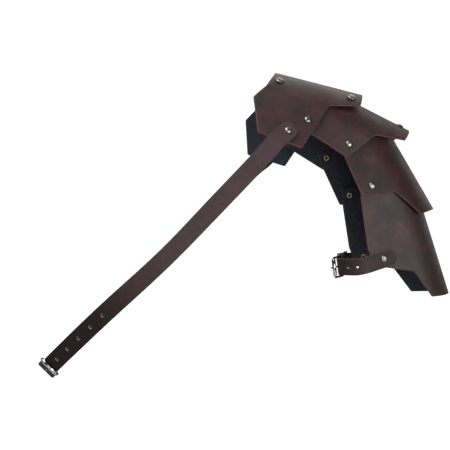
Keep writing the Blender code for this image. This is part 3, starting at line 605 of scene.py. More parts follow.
@dataclass
class Sheet:
    """A flat piece of leather in mm, cut into a fine mesh, given rounded edges and bent into shape.

    top is its outer face's height over the surface that it is bent to. pattern_start sets it in a
    stretch of leather of its own. rim_shares place the rows of its rounded edge, and merge,
    patch_gap and slack are how near points, mesh lines and cuts may lie.
    """

    outline: list[Vector]
    thickness: float
    top: float
    edge_round: float
    cuts_along: Sequence[float]
    cuts_across: Sequence[float]
    punches: Sequence[Punch] = ()
    pattern_start: float = 0.0
    rim_shares: tuple[float, ...] = (0.0, 0.12, 0.35, 0.65, 1.0)
    merge: float = 0.03
    patch_gap: float = 0.5
    slack: float = 1e-5

    def ring(self, inset: float) -> list[Vector]:
        """Return the outline moved inwards.

        Args:
            inset: How far, in mm.

        Returns:
            One point for each point of the outline.
        """
        moved = []
        count = len(self.outline)
        for index, here in enumerate(self.outline):
            before, after = self.outline[index - 1], self.outline[(index + 1) % count]
            first = (here - before).orthogonal().normalized()
            second = (after - here).orthogonal().normalized()
            middle = first + second
            moved.append(here + middle * (2.0 * inset / middle.length_squared))
        return moved

    def flat_mesh(self) -> bmesh.types.BMesh:
        """Return the flat sheet with its rim rows, mesh lines and holes."""
        flat = bmesh.new()
        rows = [[flat.verts.new((*point, 0.0)) for point in self.ring(self.edge_round * share)]
                for share in self.rim_shares]
        count = len(self.outline)
        for outer, inner in zip(rows, rows[1:]):
            for index in range(count):
                after = (index + 1) % count
                flat.faces.new((outer[index], outer[after], inner[after], inner[index]))
        flat.faces.new(rows[-1])
        along, across = set(self.cuts_along), set(self.cuts_across)
        for punch in self.punches:
            more_along, more_across = punch.cuts()
            clear = punch.halves()[0] + self.patch_gap
            along = {cut for cut in along if abs(cut - punch.along) > clear}
            along.update(more_along)
            across.update(more_across)
        for direction, cuts in (((1, 0, 0), along), ((0, 1, 0), across)):
            for cut in sorted(cuts):
                everything = flat.verts[:] + flat.edges[:] + flat.faces[:]
                bmesh.ops.bisect_plane(flat, geom=everything, dist=self.slack, plane_no=direction,
                                       plane_co=Vector(direction) * cut)
        bmesh.ops.remove_doubles(flat, verts=flat.verts[:], dist=self.merge)
        for punch in self.punches:
            self.pierce(flat, punch)
        return flat

    def pierce(self, flat: bmesh.types.BMesh, punch: Punch) -> None:
        """Swap a patch of the flat mesh for rings of faces round a hole.

        The patch's edges are kept in order, so that each run gives the same mesh.

        Args:
            flat: The flat mesh.
            punch: The hole.
        """
        patch = [face for face in flat.faces if punch.holds(face.calc_center_median().to_2d())]
        inside = set(patch)
        edges = dict.fromkeys(edge for face in patch for edge in face.edges)
        rim = [edge for edge in edges if any(face not in inside for face in edge.link_faces)]
        bmesh.ops.delete(flat, geom=patch, context="FACES")
        rings = {vert: [vert] for edge in rim for vert in edge.verts}
        for share in reversed(self.rim_shares):
            for vert, ring in rings.items():
                point = vert.co.to_2d()
                core = punch.core(point)
                spot = core + (point - core).normalized() * (punch.radius + self.edge_round * share)
                ring.append(flat.verts.new((*spot, 0.0)))
        for edge in rim:
            first, second = edge.verts
            if (first.co - Vector((punch.along, 0, 0))).cross(second.co - first.co).z < 0.0:
                first, second = second, first
            for row in range(len(self.rim_shares)):
                flat.faces.new((rings[first][row], rings[second][row],
                                rings[second][row + 1], rings[first][row + 1]))

    def edge_distance(self, point: Vector) -> float:
        """Return the distance from a flat point to the nearest cut edge, in mm."""
        nearest = min((punch.distance(point) for punch in self.punches), default=math.inf)
        for before, after in zip(self.outline, self.outline[1:] + self.outline[:1]):
            side = after - before
            share = min(max((point - before).dot(side) / side.length_squared, 0.0), 1.0)
            nearest = min(nearest, (point - before - side * share).length)
        return max(nearest, 0.0)

    def cut_paint(self, point: Vector) -> Face:
        """Return the face kind of a cut at a flat point: a punched rim or the sheet's own edge."""
        punched = any(punch.distance(point) < 2.0 * self.edge_round for punch in self.punches)
        return Face.PUNCHED if punched else Face.CUT

    def drop(self, distance: float) -> float:
        """Return how far the rounded edge lies below the face, at a distance from the cut edge."""
        share = max(1.0 - distance / self.edge_round, 0.0)
        return self.edge_round * (1.0 - math.sqrt(max(1.0 - share * share, 0.0)))

    def build(self, name: str, place: Callable[[float, float, float], Vector]) -> Mesh:
        """Bend the sheet into shape.

        Args:
            name: Name of the mesh.
            place: Gives the world place in mm of (along, across, height).

        Returns:
            The finished mesh, in metres, with "pattern" and "edge" attributes and Face slots.
        """
        flat = self.flat_mesh()
        flat.verts.index_update()
        points = [vert.co.to_2d() for vert in flat.verts]
        depths = [self.edge_distance(point) for point in points]
        shift = len(points)
        heights = [self.top - self.drop(depth) for depth in depths]
        heights += [self.top - self.thickness + self.drop(depth) for depth in depths]
        places = [place(*point, height) * MM for point, height in zip(points * 2, heights)]
        faces, paints = [], []
        for face in flat.faces:
            corners = [vert.index for vert in face.verts]
            if face.normal.z < 0.0 or self.turns_back(face):
                corners.reverse()
            cut = sum(depths[corner] for corner in corners) / len(corners) < 0.5 * self.edge_round
            faces += [corners, [corner + shift for corner in reversed(corners)]]
            rim = self.cut_paint(points[corners[0]])
            paints += [rim if cut else Face.OUTER, rim if cut else Face.INNER]
        for edge in flat.edges:
            if edge.is_boundary:
                loop = edge.link_loops[0]
                first, second = loop.vert.index, loop.link_loop_next.vert.index
                if self.turns_back(loop.face):
                    first, second = second, first
                faces.append([second, first, first + shift, second + shift])
                paints.append(self.cut_paint(points[first]))
        flat.free()
        mesh = smooth_mesh(name, places, faces)
        mesh.polygons.foreach_set("material_index", [paint.value for paint in paints])
        pattern = mesh.attributes.new("pattern", "FLOAT_VECTOR", "POINT")
        spots = [(*point, height + self.pattern_start)
                 for point, height in zip(points * 2, heights)]
        pattern.data.foreach_set("vector", [value for spot in spots for value in spot])
        edge_depth = mesh.attributes.new("edge", "FLOAT", "POINT")
        edge_depth.data.foreach_set("value", depths * 2)
        return mesh

    @staticmethod
    def turns_back(face: bmesh.types.BMFace) -> bool:
        """Return whether a flat face runs clockwise, seen from outside."""
        corners = [vert.co for vert in face.verts]
        return sum(a.x * b.y - b.x * a.y for a, b in zip(corners, corners[1:] + corners[:1])) < 0.0


def piece(name: str, mesh: Mesh, node: str) -> Object:
    """Put a finished mesh in the scene in place of its CAD node.

    Args:
        name: Name of the piece.
        mesh: Its mesh, in metres.
        node: The CAD node that it stands for.

    Returns:
        The new object.
    """
    made = put_in_scene(name, mesh)
    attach(made, BODY)
    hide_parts(node)
    LOG.info("%s stands for %s with %d faces", name, node, len(mesh.polygons))
    return made


# Lames


@dataclass(frozen=True)
class Corner:
    """A corner of a flat pattern: its place along and across the lame and its fillet, in mm."""

    along: float
    across: float
    fillet: float


@dataclass(frozen=True)
class Arch:
    """A round crown with two straight legs; radius and bend change evenly along it.

    The tip is in mm; slope, yaw and roll turn the ridge; bends are in degrees.
    """

    tip: Place
    slope: float
    yaw: float
    roll: float
    tongue_radius: float
    upper_radius: float
    tongue_bend: float
    upper_bend: float
    reference: float = 130.0

    def matrix(self) -> Matrix:
        """Return the lame's frame: X up along the ridge, Y to the front leg, Z out of the crown."""
        turns = (self.roll, -self.slope, 180.0 + self.yaw)
        turn = Euler([math.radians(degrees) for degrees in turns])
        return Matrix.LocRotScale(Vector(self.tip), turn, None)

    def section(self, along: float) -> tuple[float, float]:
        """Return the arch's radius and bend at a distance up the lame."""
        share = along / self.reference
        radius = self.tongue_radius + (self.upper_radius - self.tongue_radius) * share
        return radius, math.radians(self.tongue_bend + (self.upper_bend - self.tongue_bend) * share)

    def point(self, along: float, across: float) -> Vector:
        """Return the place of a pattern point on the outer face, in the lame's frame."""
        radius, bend = self.section(along)
        reach = abs(across)
        angle = min(reach / radius, bend)
        leg = max(reach - radius * bend, 0.0)
        out = radius * math.cos(angle) - radius - leg * math.sin(angle)
        forward = radius * math.sin(angle) + leg * math.cos(angle)
        return Vector((along, math.copysign(forward, across), out))

    def normal(self, along: float, across: float) -> Vector:
        """Return the outward direction at a pattern point, in the lame's frame."""
        up = self.point(along + 1.0, across) - self.point(along - 1.0, across)
        over = self.point(along, across + 1.0) - self.point(along, across - 1.0)
        return up.cross(over).normalized()

    def seat(self, along: float, across: float, height: float = 0.0) -> tuple[Vector, Vector]:
        """Return the world place and outward direction at a pattern point, raised by a height."""
        matrix = self.matrix()
        outward = matrix.to_3x3() @ self.normal(along, across)
        return matrix @ self.point(along, across) + outward * height, outward

    def height_over(self, place: Vector) -> float:
        """Return how far a world point lies above the outer face."""
        local = self.matrix().inverted() @ place
        radius, bend = self.section(local.x)
        rise = local.z + radius
        if math.atan2(abs(local.y), rise) <= bend:
            return math.hypot(rise, local.y) - radius
        return rise * math.cos(bend) + abs(local.y) * math.sin(bend) - radius

    def outward_over(self, place: Vector) -> Vector:
        """Return the outward direction of the face nearest to a world point."""
        base = self.height_over(place)
        steps = (Vector((1, 0, 0)), Vector((0, 1, 0)), Vector((0, 0, 1)))
        return Vector([self.height_over(place + step) - base for step in steps]).normalized()


def softened(corners: Sequence[Corner], steps: int = 8) -> list[Vector]:
    """Turn corners into points, with a smooth turn at each inner corner.

    Args:
        corners: The corners in order.
        steps: Chords in each turn.

    Returns:
        Points in mm.
    """
    points = [Vector((corners[0].along, corners[0].across))]
    for before, corner, after in zip(corners, corners[1:], corners[2:]):
        here = Vector((corner.along, corner.across))
        back = Vector((before.along, before.across)) - here
        ahead = Vector((after.along, after.across)) - here
        if corner.fillet <= 0.0:
            points.append(here)
            continue
        half = back.angle(ahead) / 2.0
        cut = min(corner.fillet / math.tan(half), 0.45 * back.length, 0.45 * ahead.length)
        start, end = here + back.normalized() * cut, here + ahead.normalized() * cut
        for step in range(steps + 1):
            share = step / steps
            points.append(start.lerp(here, share).lerp(here.lerp(end, share), share))
    points.append(Vector((corners[-1].along, corners[-1].across)))
    return points


@dataclass(frozen=True)
class Lame:
    """One bent plate of the pauldron, from its flat pattern; sizes in mm.

    corners run down its edge from the tongue to the upper edge's middle at upper_edge. hide sets
    which stretch of leather it is cut from. strip, leg_strip and row space its mesh lines, out to
    arch_limit and leg_limit and up to row_limit. wave and wave_length are the leather's unevenness.
    """

    node: str
    arch: Arch
    corners: tuple[Corner, ...]
    upper_edge: float
    hide: int = 0
    ruddy: bool = False
    edge_round: float = 0.9
    bow_steps: int = 10
    strip: float = 3.6
    leg_strip: float = 6.0
    arch_limit: float = 108.0
    leg_limit: float = 162.0
    row: float = 8.0
    row_limit: float = 208.0
    wave: float = 0.35
    wave_length: float = 46.0

    def outline(self) -> list[Vector]:
        """Return the whole outline in mm, anticlockwise."""
        first, last = self.corners[0], self.corners[-1]
        steps = [step / self.bow_steps for step in range(self.bow_steps)]
        half = [Corner(first.along * share**2, first.across * share, 0.0) for share in steps]
        half += self.corners
        rise = last.along - self.upper_edge
        half += [Corner(self.upper_edge + rise * share**2, last.across * share, 0.0)
                 for share in reversed(steps)]
        front = softened(half)
        back = [Vector((point.x, -point.y)) for point in reversed(front[1:-1])]
        return list(reversed(front + back))

    def place(self, along: float, across: float, height: float) -> Vector:
        """Return the world place in mm of a point of the leather, which is a little uneven."""
        seed = Vector((along / self.wave_length, across / self.wave_length, self.upper_edge))
        ripple = self.wave * noise.noise(seed)
        return self.arch.seat(along, across, height + min(ripple, 0.0))[0]

    def build(self) -> Object:
        """Build the lame and put it in its node's place."""
        strips = round(self.arch_limit / self.strip)
        legs = int((self.leg_limit - self.arch_limit) / self.leg_strip)
        half = [self.strip * step for step in range(strips + 1)]
        half += [self.arch_limit + self.leg_strip * step for step in range(1, legs + 1)]
        rows = [self.row * step for step in range(1, int(self.row_limit / self.row))]
        columns = [*half, *(-cut for cut in half[1:])]
        sheet = Sheet(self.outline(), LAME_LEATHER, 0.0, self.edge_round, rows, columns,
                      pattern_start=self.hide * HIDE_STEP)
        mesh = sheet.build(f"{self.node}_leather", self.place)
        (RUDDY_DRESSING if self.ruddy else LAME_DRESSING).put_on(mesh)
        return piece(f"{self.node}_leather", mesh, self.node)


LAMES = {
    "lame_1": Lame("lame_1", Arch((69.8, -2.1, -14.4), 13.8, 1.7, 1.2, 69.6, 83.1, 77.4, 67.1),
                   (Corner(5, 65.5, 2), Corner(48, 82, 7), Corner(73.5, 158, 3),
                    Corner(135, 158, 3), Corner(151.5, 106, 5), Corner(138, 81, 14)), 127, 1),
    "lame_2": Lame("lame_2", Arch((138.3, 3.8, -64.5), 26.1, 3.9, 0.9, 69.5, 68.9, 88.4, 74.8),
                   (Corner(8, 65, 2), Corner(50.5, 82.5, 8), Corner(73.5, 130.5, 3),
                    Corner(130, 125, 20), Corner(153, 121, 4)), 134, 2),
    "lame_3": Lame("lame_3", Arch((174.4, 1.9, -178.5), 59.9, 0.1, 4.2, 61.2, 63.3, 83.7, 82.5),
                   (Corner(7.5, 69, 2), Corner(52, 88.5, 8), Corner(69.5, 133, 3),
                    Corner(136, 127, 20), Corner(153, 123, 4)), 139, 3, True),
    "lame_4": Lame("lame_4", Arch((197.4, 0.8, -299.1), 72.4, 3.3, -1.2, 49.8, 54.0, 86.2, 82.2),
                   (Corner(8.5, 65, 2), Corner(50, 80.5, 7), Corner(75, 134, 3),
                    Corner(100, 136, 20), Corner(170, 126, 20), Corner(190, 120, 4)), 171, 4),
}


# Turned and bent metal


def facing(outward: Vector) -> Matrix:
    """Return a rotation whose Z is the outward direction and whose X lies near world up."""
    hint = Vector((0.0, 0.0, 1.0))
    along = (hint - outward * hint.dot(outward)).normalized()
    return Matrix((along, outward.cross(along), outward)).transposed()


def smooth_mesh(name: str, places: Sequence[Vector], faces: Sequence[Sequence[int]]) -> Mesh:
    """Return a smooth-shaded mesh of some places in metres and faces."""
    mesh = bpy.data.meshes.new(name)
    mesh.from_pydata(places, [], faces)
    mesh.shade_smooth()
    return mesh


def turned(name: str, profile: Sequence[tuple[float, float]], sides: int, matrix: Matrix,
           closed: bool = False) -> Mesh:
    """Turn a half outline about Z.

    Args:
        name: Name of the mesh.
        profile: (radius, height) points in mm, running anticlockwise round the half section.
        sides: Faces round the turn.
        matrix: Place of the piece, in mm.
        closed: Whether the outline is a loop, as of a tube.

    Returns:
        The mesh in metres, one material slot index for each step of the outline.
    """
    places: list[Vector] = []
    rings: list[list[int]] = []
    for radius, height in profile:
        count = 1 if radius < 1e-6 else sides
        rings.append(list(range(len(places), len(places) + count)))
        for side in range(count):
            angle = 2.0 * math.pi * side / sides
            spot = Vector((radius * math.cos(angle), radius * math.sin(angle), height))
            places.append(matrix @ spot * MM)
    faces = []
    pairs = list(zip(rings, rings[1:])) + ([(rings[-1], rings[0])] if closed else [])
    for first, second in pairs:
        for side in range(sides):
            after = side + 1
            corners = [first[side % len(first)], second[side % len(second)],
                       second[after % len(second)], first[after % len(first)]]
            faces.append(list(dict.fromkeys(corners)))
    return smooth_mesh(name, places, faces)


def swept(name: str, points: Sequence[Vector], radii: Sequence[float], up: Vector, matrix: Matrix,
          closed: bool = False, sides: int = 16) -> Mesh:
    """Sweep a round section along a wire that lies in one plane.

    Args:
        name: Name of the mesh.
        points: The wire's middle line in mm.
        radii: The wire's radius at each point.
        up: Normal of the wire's plane.
        matrix: Place of the piece, in mm.
        closed: Whether the wire is a loop.
        sides: Faces round the wire.

    Returns:
        The mesh in metres.
    """
    places = []
    count = len(points)
    for index, (point, radius) in enumerate(zip(points, radii)):
        before = points[index - 1] if closed or index else point
        after = points[(index + 1) % count] if closed or index < count - 1 else point
        side = (after - before).normalized().cross(up)
        for step in range(sides):
            angle = 2.0 * math.pi * step / sides
            out = side * math.cos(angle) + up * math.sin(angle)
            places.append(matrix @ (point + out * radius) * MM)
    faces = []
    for index in range(count if closed else count - 1):
        here, there = index * sides, (index + 1) % count * sides
        for step in range(sides):
            after = (step + 1) % sides
            faces.append([here + step, here + after, there + after, there + step])
    if not closed:
        faces.append(list(reversed(range(sides))))
        faces.append([(count - 1) * sides + step for step in range(sides)])
    return smooth_mesh(name, places, faces)


@dataclass(frozen=True)
class RivetStock:
    """Sizes of the rivets: a domed cap outside, a post, and a burr ring inside; all in mm.

    The rows are the steps of the outline at which the cap's rim, the ring and its bore begin.
    """

    cap_radius: float = 4.8
    cap_height: float = 2.4
    cap_rim: float = 0.55
    cap_edge: float = 0.3
    post_radius: float = 1.5
    ring_radius: float = 4.4
    ring_height: float = 0.9
    ring_bore: float = 1.9
    inset: float = 0.97
    clearance: float = 0.5
    sides: int = 40
    dome_steps: int = 9
    rim_row: int = 8
    ring_row: int = 12
    bore_row: int = 19

    def profile(self, grip: float) -> list[tuple[float, float]]:
        """Return the half outline, from the cap's top to the middle of the ring.

        Args:
            grip: Leather between cap and ring.

        Returns:
            (radius, height) points.
        """
        rim = self.cap_rim
        rise = self.cap_height - rim
        inner = self.inset * self.cap_radius
        turns = [math.pi / 2.0 * step / self.dome_steps for step in range(self.dome_steps + 1)]
        dome = [(inner * math.sin(turn), rim + rise * math.cos(turn)) for turn in turns]
        foot = -grip - self.ring_height
        return dome + [
            (self.cap_radius, self.cap_edge), (inner, 0.0),
            (self.post_radius, 0.0), (self.post_radius, -grip),
            (0.96 * self.ring_radius, -grip), (self.ring_radius, -grip - 0.2),
            (0.93 * self.ring_radius, foot + 0.12), (0.8 * self.ring_radius, foot),
            (1.25 * self.ring_bore, foot), (self.ring_bore, foot + 0.15),
            (0.9 * self.ring_bore, foot + 0.75 * self.ring_height),
            (0.0, foot + 0.75 * self.ring_height)]

    def build(self, node: str, seat: Vector, outward: Vector, grip: float) -> Object:
        """Build one rivet in its node's place.

        Args:
            node: The CAD node.
            seat: World place in mm of the cap's underside.
            outward: Direction of the cap.
            grip: Leather between cap and ring.

        Returns:
            The new piece.
        """
        matrix = Matrix.Translation(seat) @ facing(outward).to_4x4()
        mesh = turned(f"{node}_metal", self.profile(grip), self.sides, matrix)
        # The cap's rim rows take the painted contact shadow.
        for finish in (NICKEL, RIM_SHADOW, BRASS, BORE):
            mesh.materials.append(finish.material())
        starts = (self.rim_row, self.ring_row, self.bore_row)
        for face in mesh.polygons:
            face.material_index = bisect_right(starts, face.index // self.sides)
        return piece(f"{node}_metal", mesh, node)


@dataclass(frozen=True)
class Rivet:
    """A rivet at a place on its outermost lame, front and back, through the lame below if any."""

    node: str
    lame: str
    along: float
    across: float
    below: str | None = None
    strap: bool = False
    stock: RivetStock = field(default_factory=RivetStock)

    def build(self) -> None:
        """Build the front rivet and the back rivet."""
        for side, sign in (("front", 1.0), ("back", -1.0)):
            place, outward = LAMES[self.lame].arch.seat(self.along, sign * self.across)
            lift = GAP + (STRAP_SEAT + STRAP_LEATHER if self.strap else 0.0)
            depth = LAME_LEATHER
            if self.below:
                under = LAMES[self.below].arch
                tilt = outward.angle(under.outward_over(place))
                depth = ((under.height_over(place) + LAME_LEATHER) / math.cos(tilt)
                         + self.stock.ring_radius * math.tan(tilt))
            self.stock.build(f"{self.node}_{side}", place + outward * lift, outward,
                             lift + depth + self.stock.clearance)


LARGE_CAP = RivetStock(cap_radius=6.2, cap_height=2.9)
RIVETS = (
    Rivet("tongue_rivet", "lame_1", 18.5, 52, stock=LARGE_CAP),
    Rivet("neck_rivet", "lame_1", 121, 62, stock=LARGE_CAP),
    Rivet("chest_strap_rivet", "lame_1", 97, 141.5, strap=True),
    Rivet("ridge_rivet", "lame_2", 17, 29),
    Rivet("lame_rivet_1", "lame_1", 73.5, 114.5, below="lame_2"),
    Rivet("lame_rivet_2", "lame_2", 78.5, 112, below="lame_3"),
    Rivet("lame_rivet_3", "lame_3", 75, 113.5, below="lame_4"),
    Rivet("arm_strap_rivet", "lame_4", 80.5, 118.5, strap=True),
)


# Straps


class Route:
    """A strap's way through space, with a frame at any distance: X along, Y across, Z outward."""

    def __init__(self, points: Sequence[Vector], acrosses: Sequence[Vector],
                 smooth: bool = True) -> None:
        """Lay the route through its points.

        Args:
            points: Places in mm.
            acrosses: Width direction at each place.
            smooth: Whether to draw a smooth curve through them.
        """
        self.places = self.smoothed(points) if smooth else list(points)
        self.acrosses = self.smoothed(acrosses) if smooth else list(acrosses)
        self.lengths = [0.0]
        for before, after in zip(self.places, self.places[1:]):
            self.lengths.append(self.lengths[-1] + (after - before).length)
        self.frames: dict[float, Matrix] = {}

    @staticmethod
    def smoothed(points: Sequence[Vector], steps: int = 20, pull: float = 1.3) -> list[Vector]:
        """Return points along a curve through the given ones.

        Args:
            points: The given points.
            steps: Pieces between two of them.
            pull: Most that a tangent may be of the distance between two points.

        Returns:
            The curve's points.
        """
        run = [points[0] * 2.0 - points[1], *points, points[-1] * 2.0 - points[-2]]
        curve = []
        for a, b, c, d in zip(run, run[1:], run[2:], run[3:]):
            size = (c - b).length
            here, ahead = (c - a) * 0.5, (d - b) * 0.5
            if size > 1e-9:
                here *= min(1.0, pull * size / max(here.length, 1e-9))
                ahead *= min(1.0, pull * size / max(ahead.length, 1e-9))
            for step in range(steps):
                t = step / steps
                curve.append(b * (2 * t**3 - 3 * t**2 + 1) + here * (t**3 - 2 * t**2 + t)
                             + c * (3 * t**2 - 2 * t**3) + ahead * (t**3 - t**2))
        return [*curve, points[-1].copy()]

    @property
    def length(self) -> float:
        """Whole length in mm."""
        return self.lengths[-1]

    def spot(self, distance: float) -> tuple[Vector, Vector]:
        """Return the place and width direction at a distance, carried on straight past the ends."""
        index = min(max(bisect_right(self.lengths, distance) - 1, 0), len(self.lengths) - 2)
        share = (distance - self.lengths[index]) / (self.lengths[index + 1] - self.lengths[index])
        held = min(max(share, 0.0), 1.0)
        place = self.places[index] + (self.places[index + 1] - self.places[index]) * share
        return place, self.acrosses[index].lerp(self.acrosses[index + 1], held)

    def frame(self, distance: float) -> Matrix:
        """Return the frame at a distance."""
        found = self.frames.get(distance)
        if found is None:
            place, across = self.spot(distance)
            ahead, back = self.spot(distance + FRAME_STEP), self.spot(distance - FRAME_STEP)
            along = (ahead[0] - back[0]).normalized()
            across = (across - along * across.dot(along)).normalized()
            turn = Matrix((along, across, along.cross(across))).transposed()
            found = self.frames[distance] = Matrix.Translation(place) @ turn.to_4x4()
        return found

    def point(self, distance: float, across: float, height: float = 0.0) -> Vector:
        """Return the world place in mm at a distance along, across and above the strap's middle."""
        return self.frame(distance) @ Vector((0.0, across, height))


def rolled(across: Vector, along: Vector, roll: float) -> Vector:
    """Return a free stretch's width direction, with its outer face rolled up by some degrees."""
    flat = (across - along * across.dot(along)).normalized()
    return flat * math.cos(math.radians(roll)) + along.cross(flat) * math.sin(math.radians(roll))


@dataclass(frozen=True)
class Stretch:
    """A free place of a strap's route in mm, with its roll in degrees."""

    place: Place
    roll: float = 0.0


@dataclass(frozen=True)
class Station:
    """A place of the chest strap: run down the diagonal, depth to the back, sag across it, roll."""

    run: float
    depth: float
    sag: float
    roll: float

    def stretch(self, anchor: Vector) -> Stretch:
        """Return the station as a place in the world."""
        diagonal = Vector((-1.0, 0.0, -1.0)).normalized()
        across = Vector((1.0, 0.0, -1.0)).normalized()
        place = anchor + diagonal * self.run + across * self.sag + Vector((0.0, self.depth, 0.0))
        return Stretch(tuple(place), self.roll)


@dataclass(frozen=True)
class Buckle:
    """A roller buckle and the strap folded round its heel bar; all in mm.

    heel is the heel bar's distance from the front rivet, lift the room under the roller, and
    keeper, tail, rivet and fold are distances past the heel bar.
    """

    heel: float
    wire: float
    length: float
    lift: float
    keeper: float
    tail: float
    rivet: float
    fold: float
    side_clearance: float = 0.9
    corner: float = 1.8
    roller_wall: float = 1.0
    roller_edge: float = 0.3
    roller_lip: float = 0.15
    roller_sides: int = 32
    prong_radius: float = 1.1
    prong_clearance: float = 0.35
    keeper_wire: float = 1.2
    keeper_corner: float = 1.6
    eye_room: float = 0.5

    @property
    def roller_radius(self) -> float:
        """Outer radius of the roller."""
        return self.wire + GAP + self.roller_wall


def corner_arcs(low: float, high: float, half: float, corner: float,
                steps: int = 8) -> list[Vector]:
    """Return the points of a flat loop with straight sides and round corners.

    Args:
        low: Lowest X.
        high: Highest X.
        half: Half the width in Y.
        corner: Radius of the corners.
        steps: Chords in a corner.

    Returns:
        Points in order round the loop.
    """
    centres = ((high - corner, half - corner, 0.0), (low + corner, half - corner, 90.0),
               (low + corner, corner - half, 180.0), (high - corner, corner - half, 270.0))
    return [Vector((x + corner * math.cos(angle), y + corner * math.sin(angle), 0.0))
            for x, y, start in centres
            for angle in (math.radians(start + 90.0 * step / steps) for step in range(steps + 1))]


# Mesh lines along a strap, and the holed strap's pointed tail as (distance back, across): both are
# shares of half the strap's width.
STRAP_LINES = (-0.8, -0.5, -0.25, 0.0, 0.25, 0.5, 0.8)
TAIL_POINT = ((0.8, -1.0), (0.45, -0.8), (0.15, -0.45), (0.03, -0.2), (0.0, 0.0),
              (0.03, 0.2), (0.15, 0.45), (0.45, 0.8), (0.8, 1.0))
HEAD_STEPS = 24

# The prong's eye in degrees and points, its body as (share of the frame's length, rise in mm), and
# its ends, drawn in to a share of its radius over some points.
EYE_START, EYE_STEP, EYE_POINTS = -30.0, -10.0, 25
PRONG_BODY = ((0.08, 0.1), (0.2, 1.9), (0.36, 3.0), (0.62, 2.7), (1.0, 1.3), (1.15, 0.5))
PRONG_END, PRONG_TAPER = 0.72, 6.0


@dataclass
class Fastening:
    """A holed strap from the front, a buckled strap from the back, and the buckle between them.

    seats are pattern places on the lame, and across points along the width of the free stretches.
    The fold lies flat, closes on the heel bar over fold_close, and turns round it by bar_turn from
    bar_start, in degrees. The strap then stays level to level_past beyond the fold and rises over
    level_rise.
    """

    prefix: str
    lame: str
    seats: tuple[tuple[float, float], ...]
    stretches: tuple[Stretch, ...]
    across: Vector
    width: float
    head: float
    holes: tuple[float, ...]
    hole_radius: float
    buckle: Buckle
    step: float = 3.5
    edge_round: float = 0.7
    slot_back: float = 3.2
    slot_length: float = 9.0
    fold_close: float = 14.0
    fold_step: float = 3.0
    close_steps: int = 6
    bar_start: float = -95.0
    bar_turn: float = -175.0
    bar_steps: int = 28
    level_past: float = 4.0
    level_rise: float = 28.0

    def __post_init__(self) -> None:
        """Lay the strap's route and place the buckle on it."""
        self.route = self.laid()
        buckle = self.buckle
        low = -(1.5 * STRAP_LEATHER + GAP + buckle.eye_room + buckle.wire)
        high = STRAP_LEATHER / 2.0 + GAP + buckle.roller_radius + buckle.lift
        heel_bar = self.route.point(buckle.heel, 0.0, low)
        near_bar = self.route.point(buckle.heel - buckle.length, 0.0, high)
        ahead = (near_bar - heel_bar).normalized()
        side = -self.route.frame(buckle.heel).col[1].to_3d()
        side = (side - ahead * side.dot(ahead)).normalized()
        turn = Matrix((ahead, side, ahead.cross(side))).transposed()
        self.reach = (near_bar - heel_bar).length
        self.matrix = Matrix.Translation(heel_bar) @ turn.to_4x4()

    def laid(self) -> Route:
        """Return the route: flush on the lame's front leg, free, and flush on the back leg."""
        lift = STRAP_SEAT + STRAP_LEATHER / 2.0
        arch = LAMES[self.lame].arch
        start = [arch.seat(along, across, lift) for along, across in self.seats]
        end = [arch.seat(along, -across, lift) for along, across in reversed(self.seats)]
        free = [(Vector(stretch.place), stretch.roll) for stretch in self.stretches]
        points = [place for place, _ in (*start, *free, *end)]
        last = len(points) - 1
        hints = []
        for index, (_, told) in enumerate((*start, *free, *end)):
            along = (points[min(index + 1, last)] - points[max(index - 1, 0)]).normalized()
            if isinstance(told, Vector):
                hints.append(told.cross(along).normalized())
            else:
                hints.append(rolled(self.across, along, told))
        return Route(points, hints)

    def folded(self) -> Route:
        """Return the buckled strap's route: the fold, the heel bar, then under the holed strap."""
        buckle, route = self.buckle, self.route
        sunk = -(STRAP_LEATHER + GAP)
        bend = buckle.wire + buckle.eye_room + STRAP_LEATHER / 2.0
        bar = sunk - bend
        lower = sunk - STRAP_LEATHER - GAP
        spots: list[Place] = []
        under = buckle.fold - self.fold_close
        count = math.ceil(under / self.fold_step)
        end = buckle.heel + buckle.fold
        spots += [(end - under * index / count, 0.0, lower) for index in range(count + 1)]
        for index in range(1, self.close_steps):
            share = index / self.close_steps
            height = lower + (bar - bend - lower) * eased(share)
            spots.append((buckle.heel + self.fold_close * (1.0 - share), 0.0, height))
        for index in range(self.bar_steps + 1):
            angle = math.radians(self.bar_start + self.bar_turn * index / self.bar_steps)
            spots.append((buckle.heel, bend * math.cos(angle), bar + bend * math.sin(angle)))
        level_end = end + self.level_past
        distance = buckle.heel + self.fold_step
        while distance < route.length - self.fold_step:
            share = min(1.0, max(0.0, 1.0 - (distance - level_end) / self.level_rise))
            spots.append((distance, 0.0, sunk * eased(share)))
            distance += self.fold_step
        spots.append((route.length, 0.0, 0.0))
        points = [route.frame(at) @ Vector((ahead, 0.0, height)) for at, ahead, height in spots]
        return Route(points, [route.frame(at).col[1].to_3d() for at, _, _ in spots], smooth=False)

    def head_arc(self, centre: float, way: float) -> list[Vector]:
        """Return the points of a round strap end, whose middle is at a distance along."""
        half = self.width / 2.0
        turns = [math.pi * step / HEAD_STEPS for step in range(HEAD_STEPS + 1)]
        return [Vector((centre - way * half * math.sin(turn), half * math.cos(turn)))
                for turn in turns]

    def build_strap(self, side: str, route: Route, outline: list[Vector], cuts: Sequence[float],
                    punches: Sequence[Punch]) -> Object:
        """Build one strap in its node's place.

        Args:
            side: "front" or "back".
            route: The way it takes.
            outline: Its flat outline in mm.
            cuts: Where its mesh has a row.
            punches: Its holes.

        Returns:
            The new piece.
        """
        lines = [self.width / 2.0 * share for share in STRAP_LINES]
        area = sum(a.x * b.y - b.x * a.y for a, b in zip(outline, outline[1:] + outline[:1]))
        ordered = outline if area > 0.0 else list(reversed(outline))
        sheet = Sheet(ordered, STRAP_LEATHER, STRAP_LEATHER / 2.0, self.edge_round, cuts, lines,
                      punches)
        name = f"{self.prefix}_strap_{side}"
        mesh = sheet.build(f"{name}_leather", route.point)
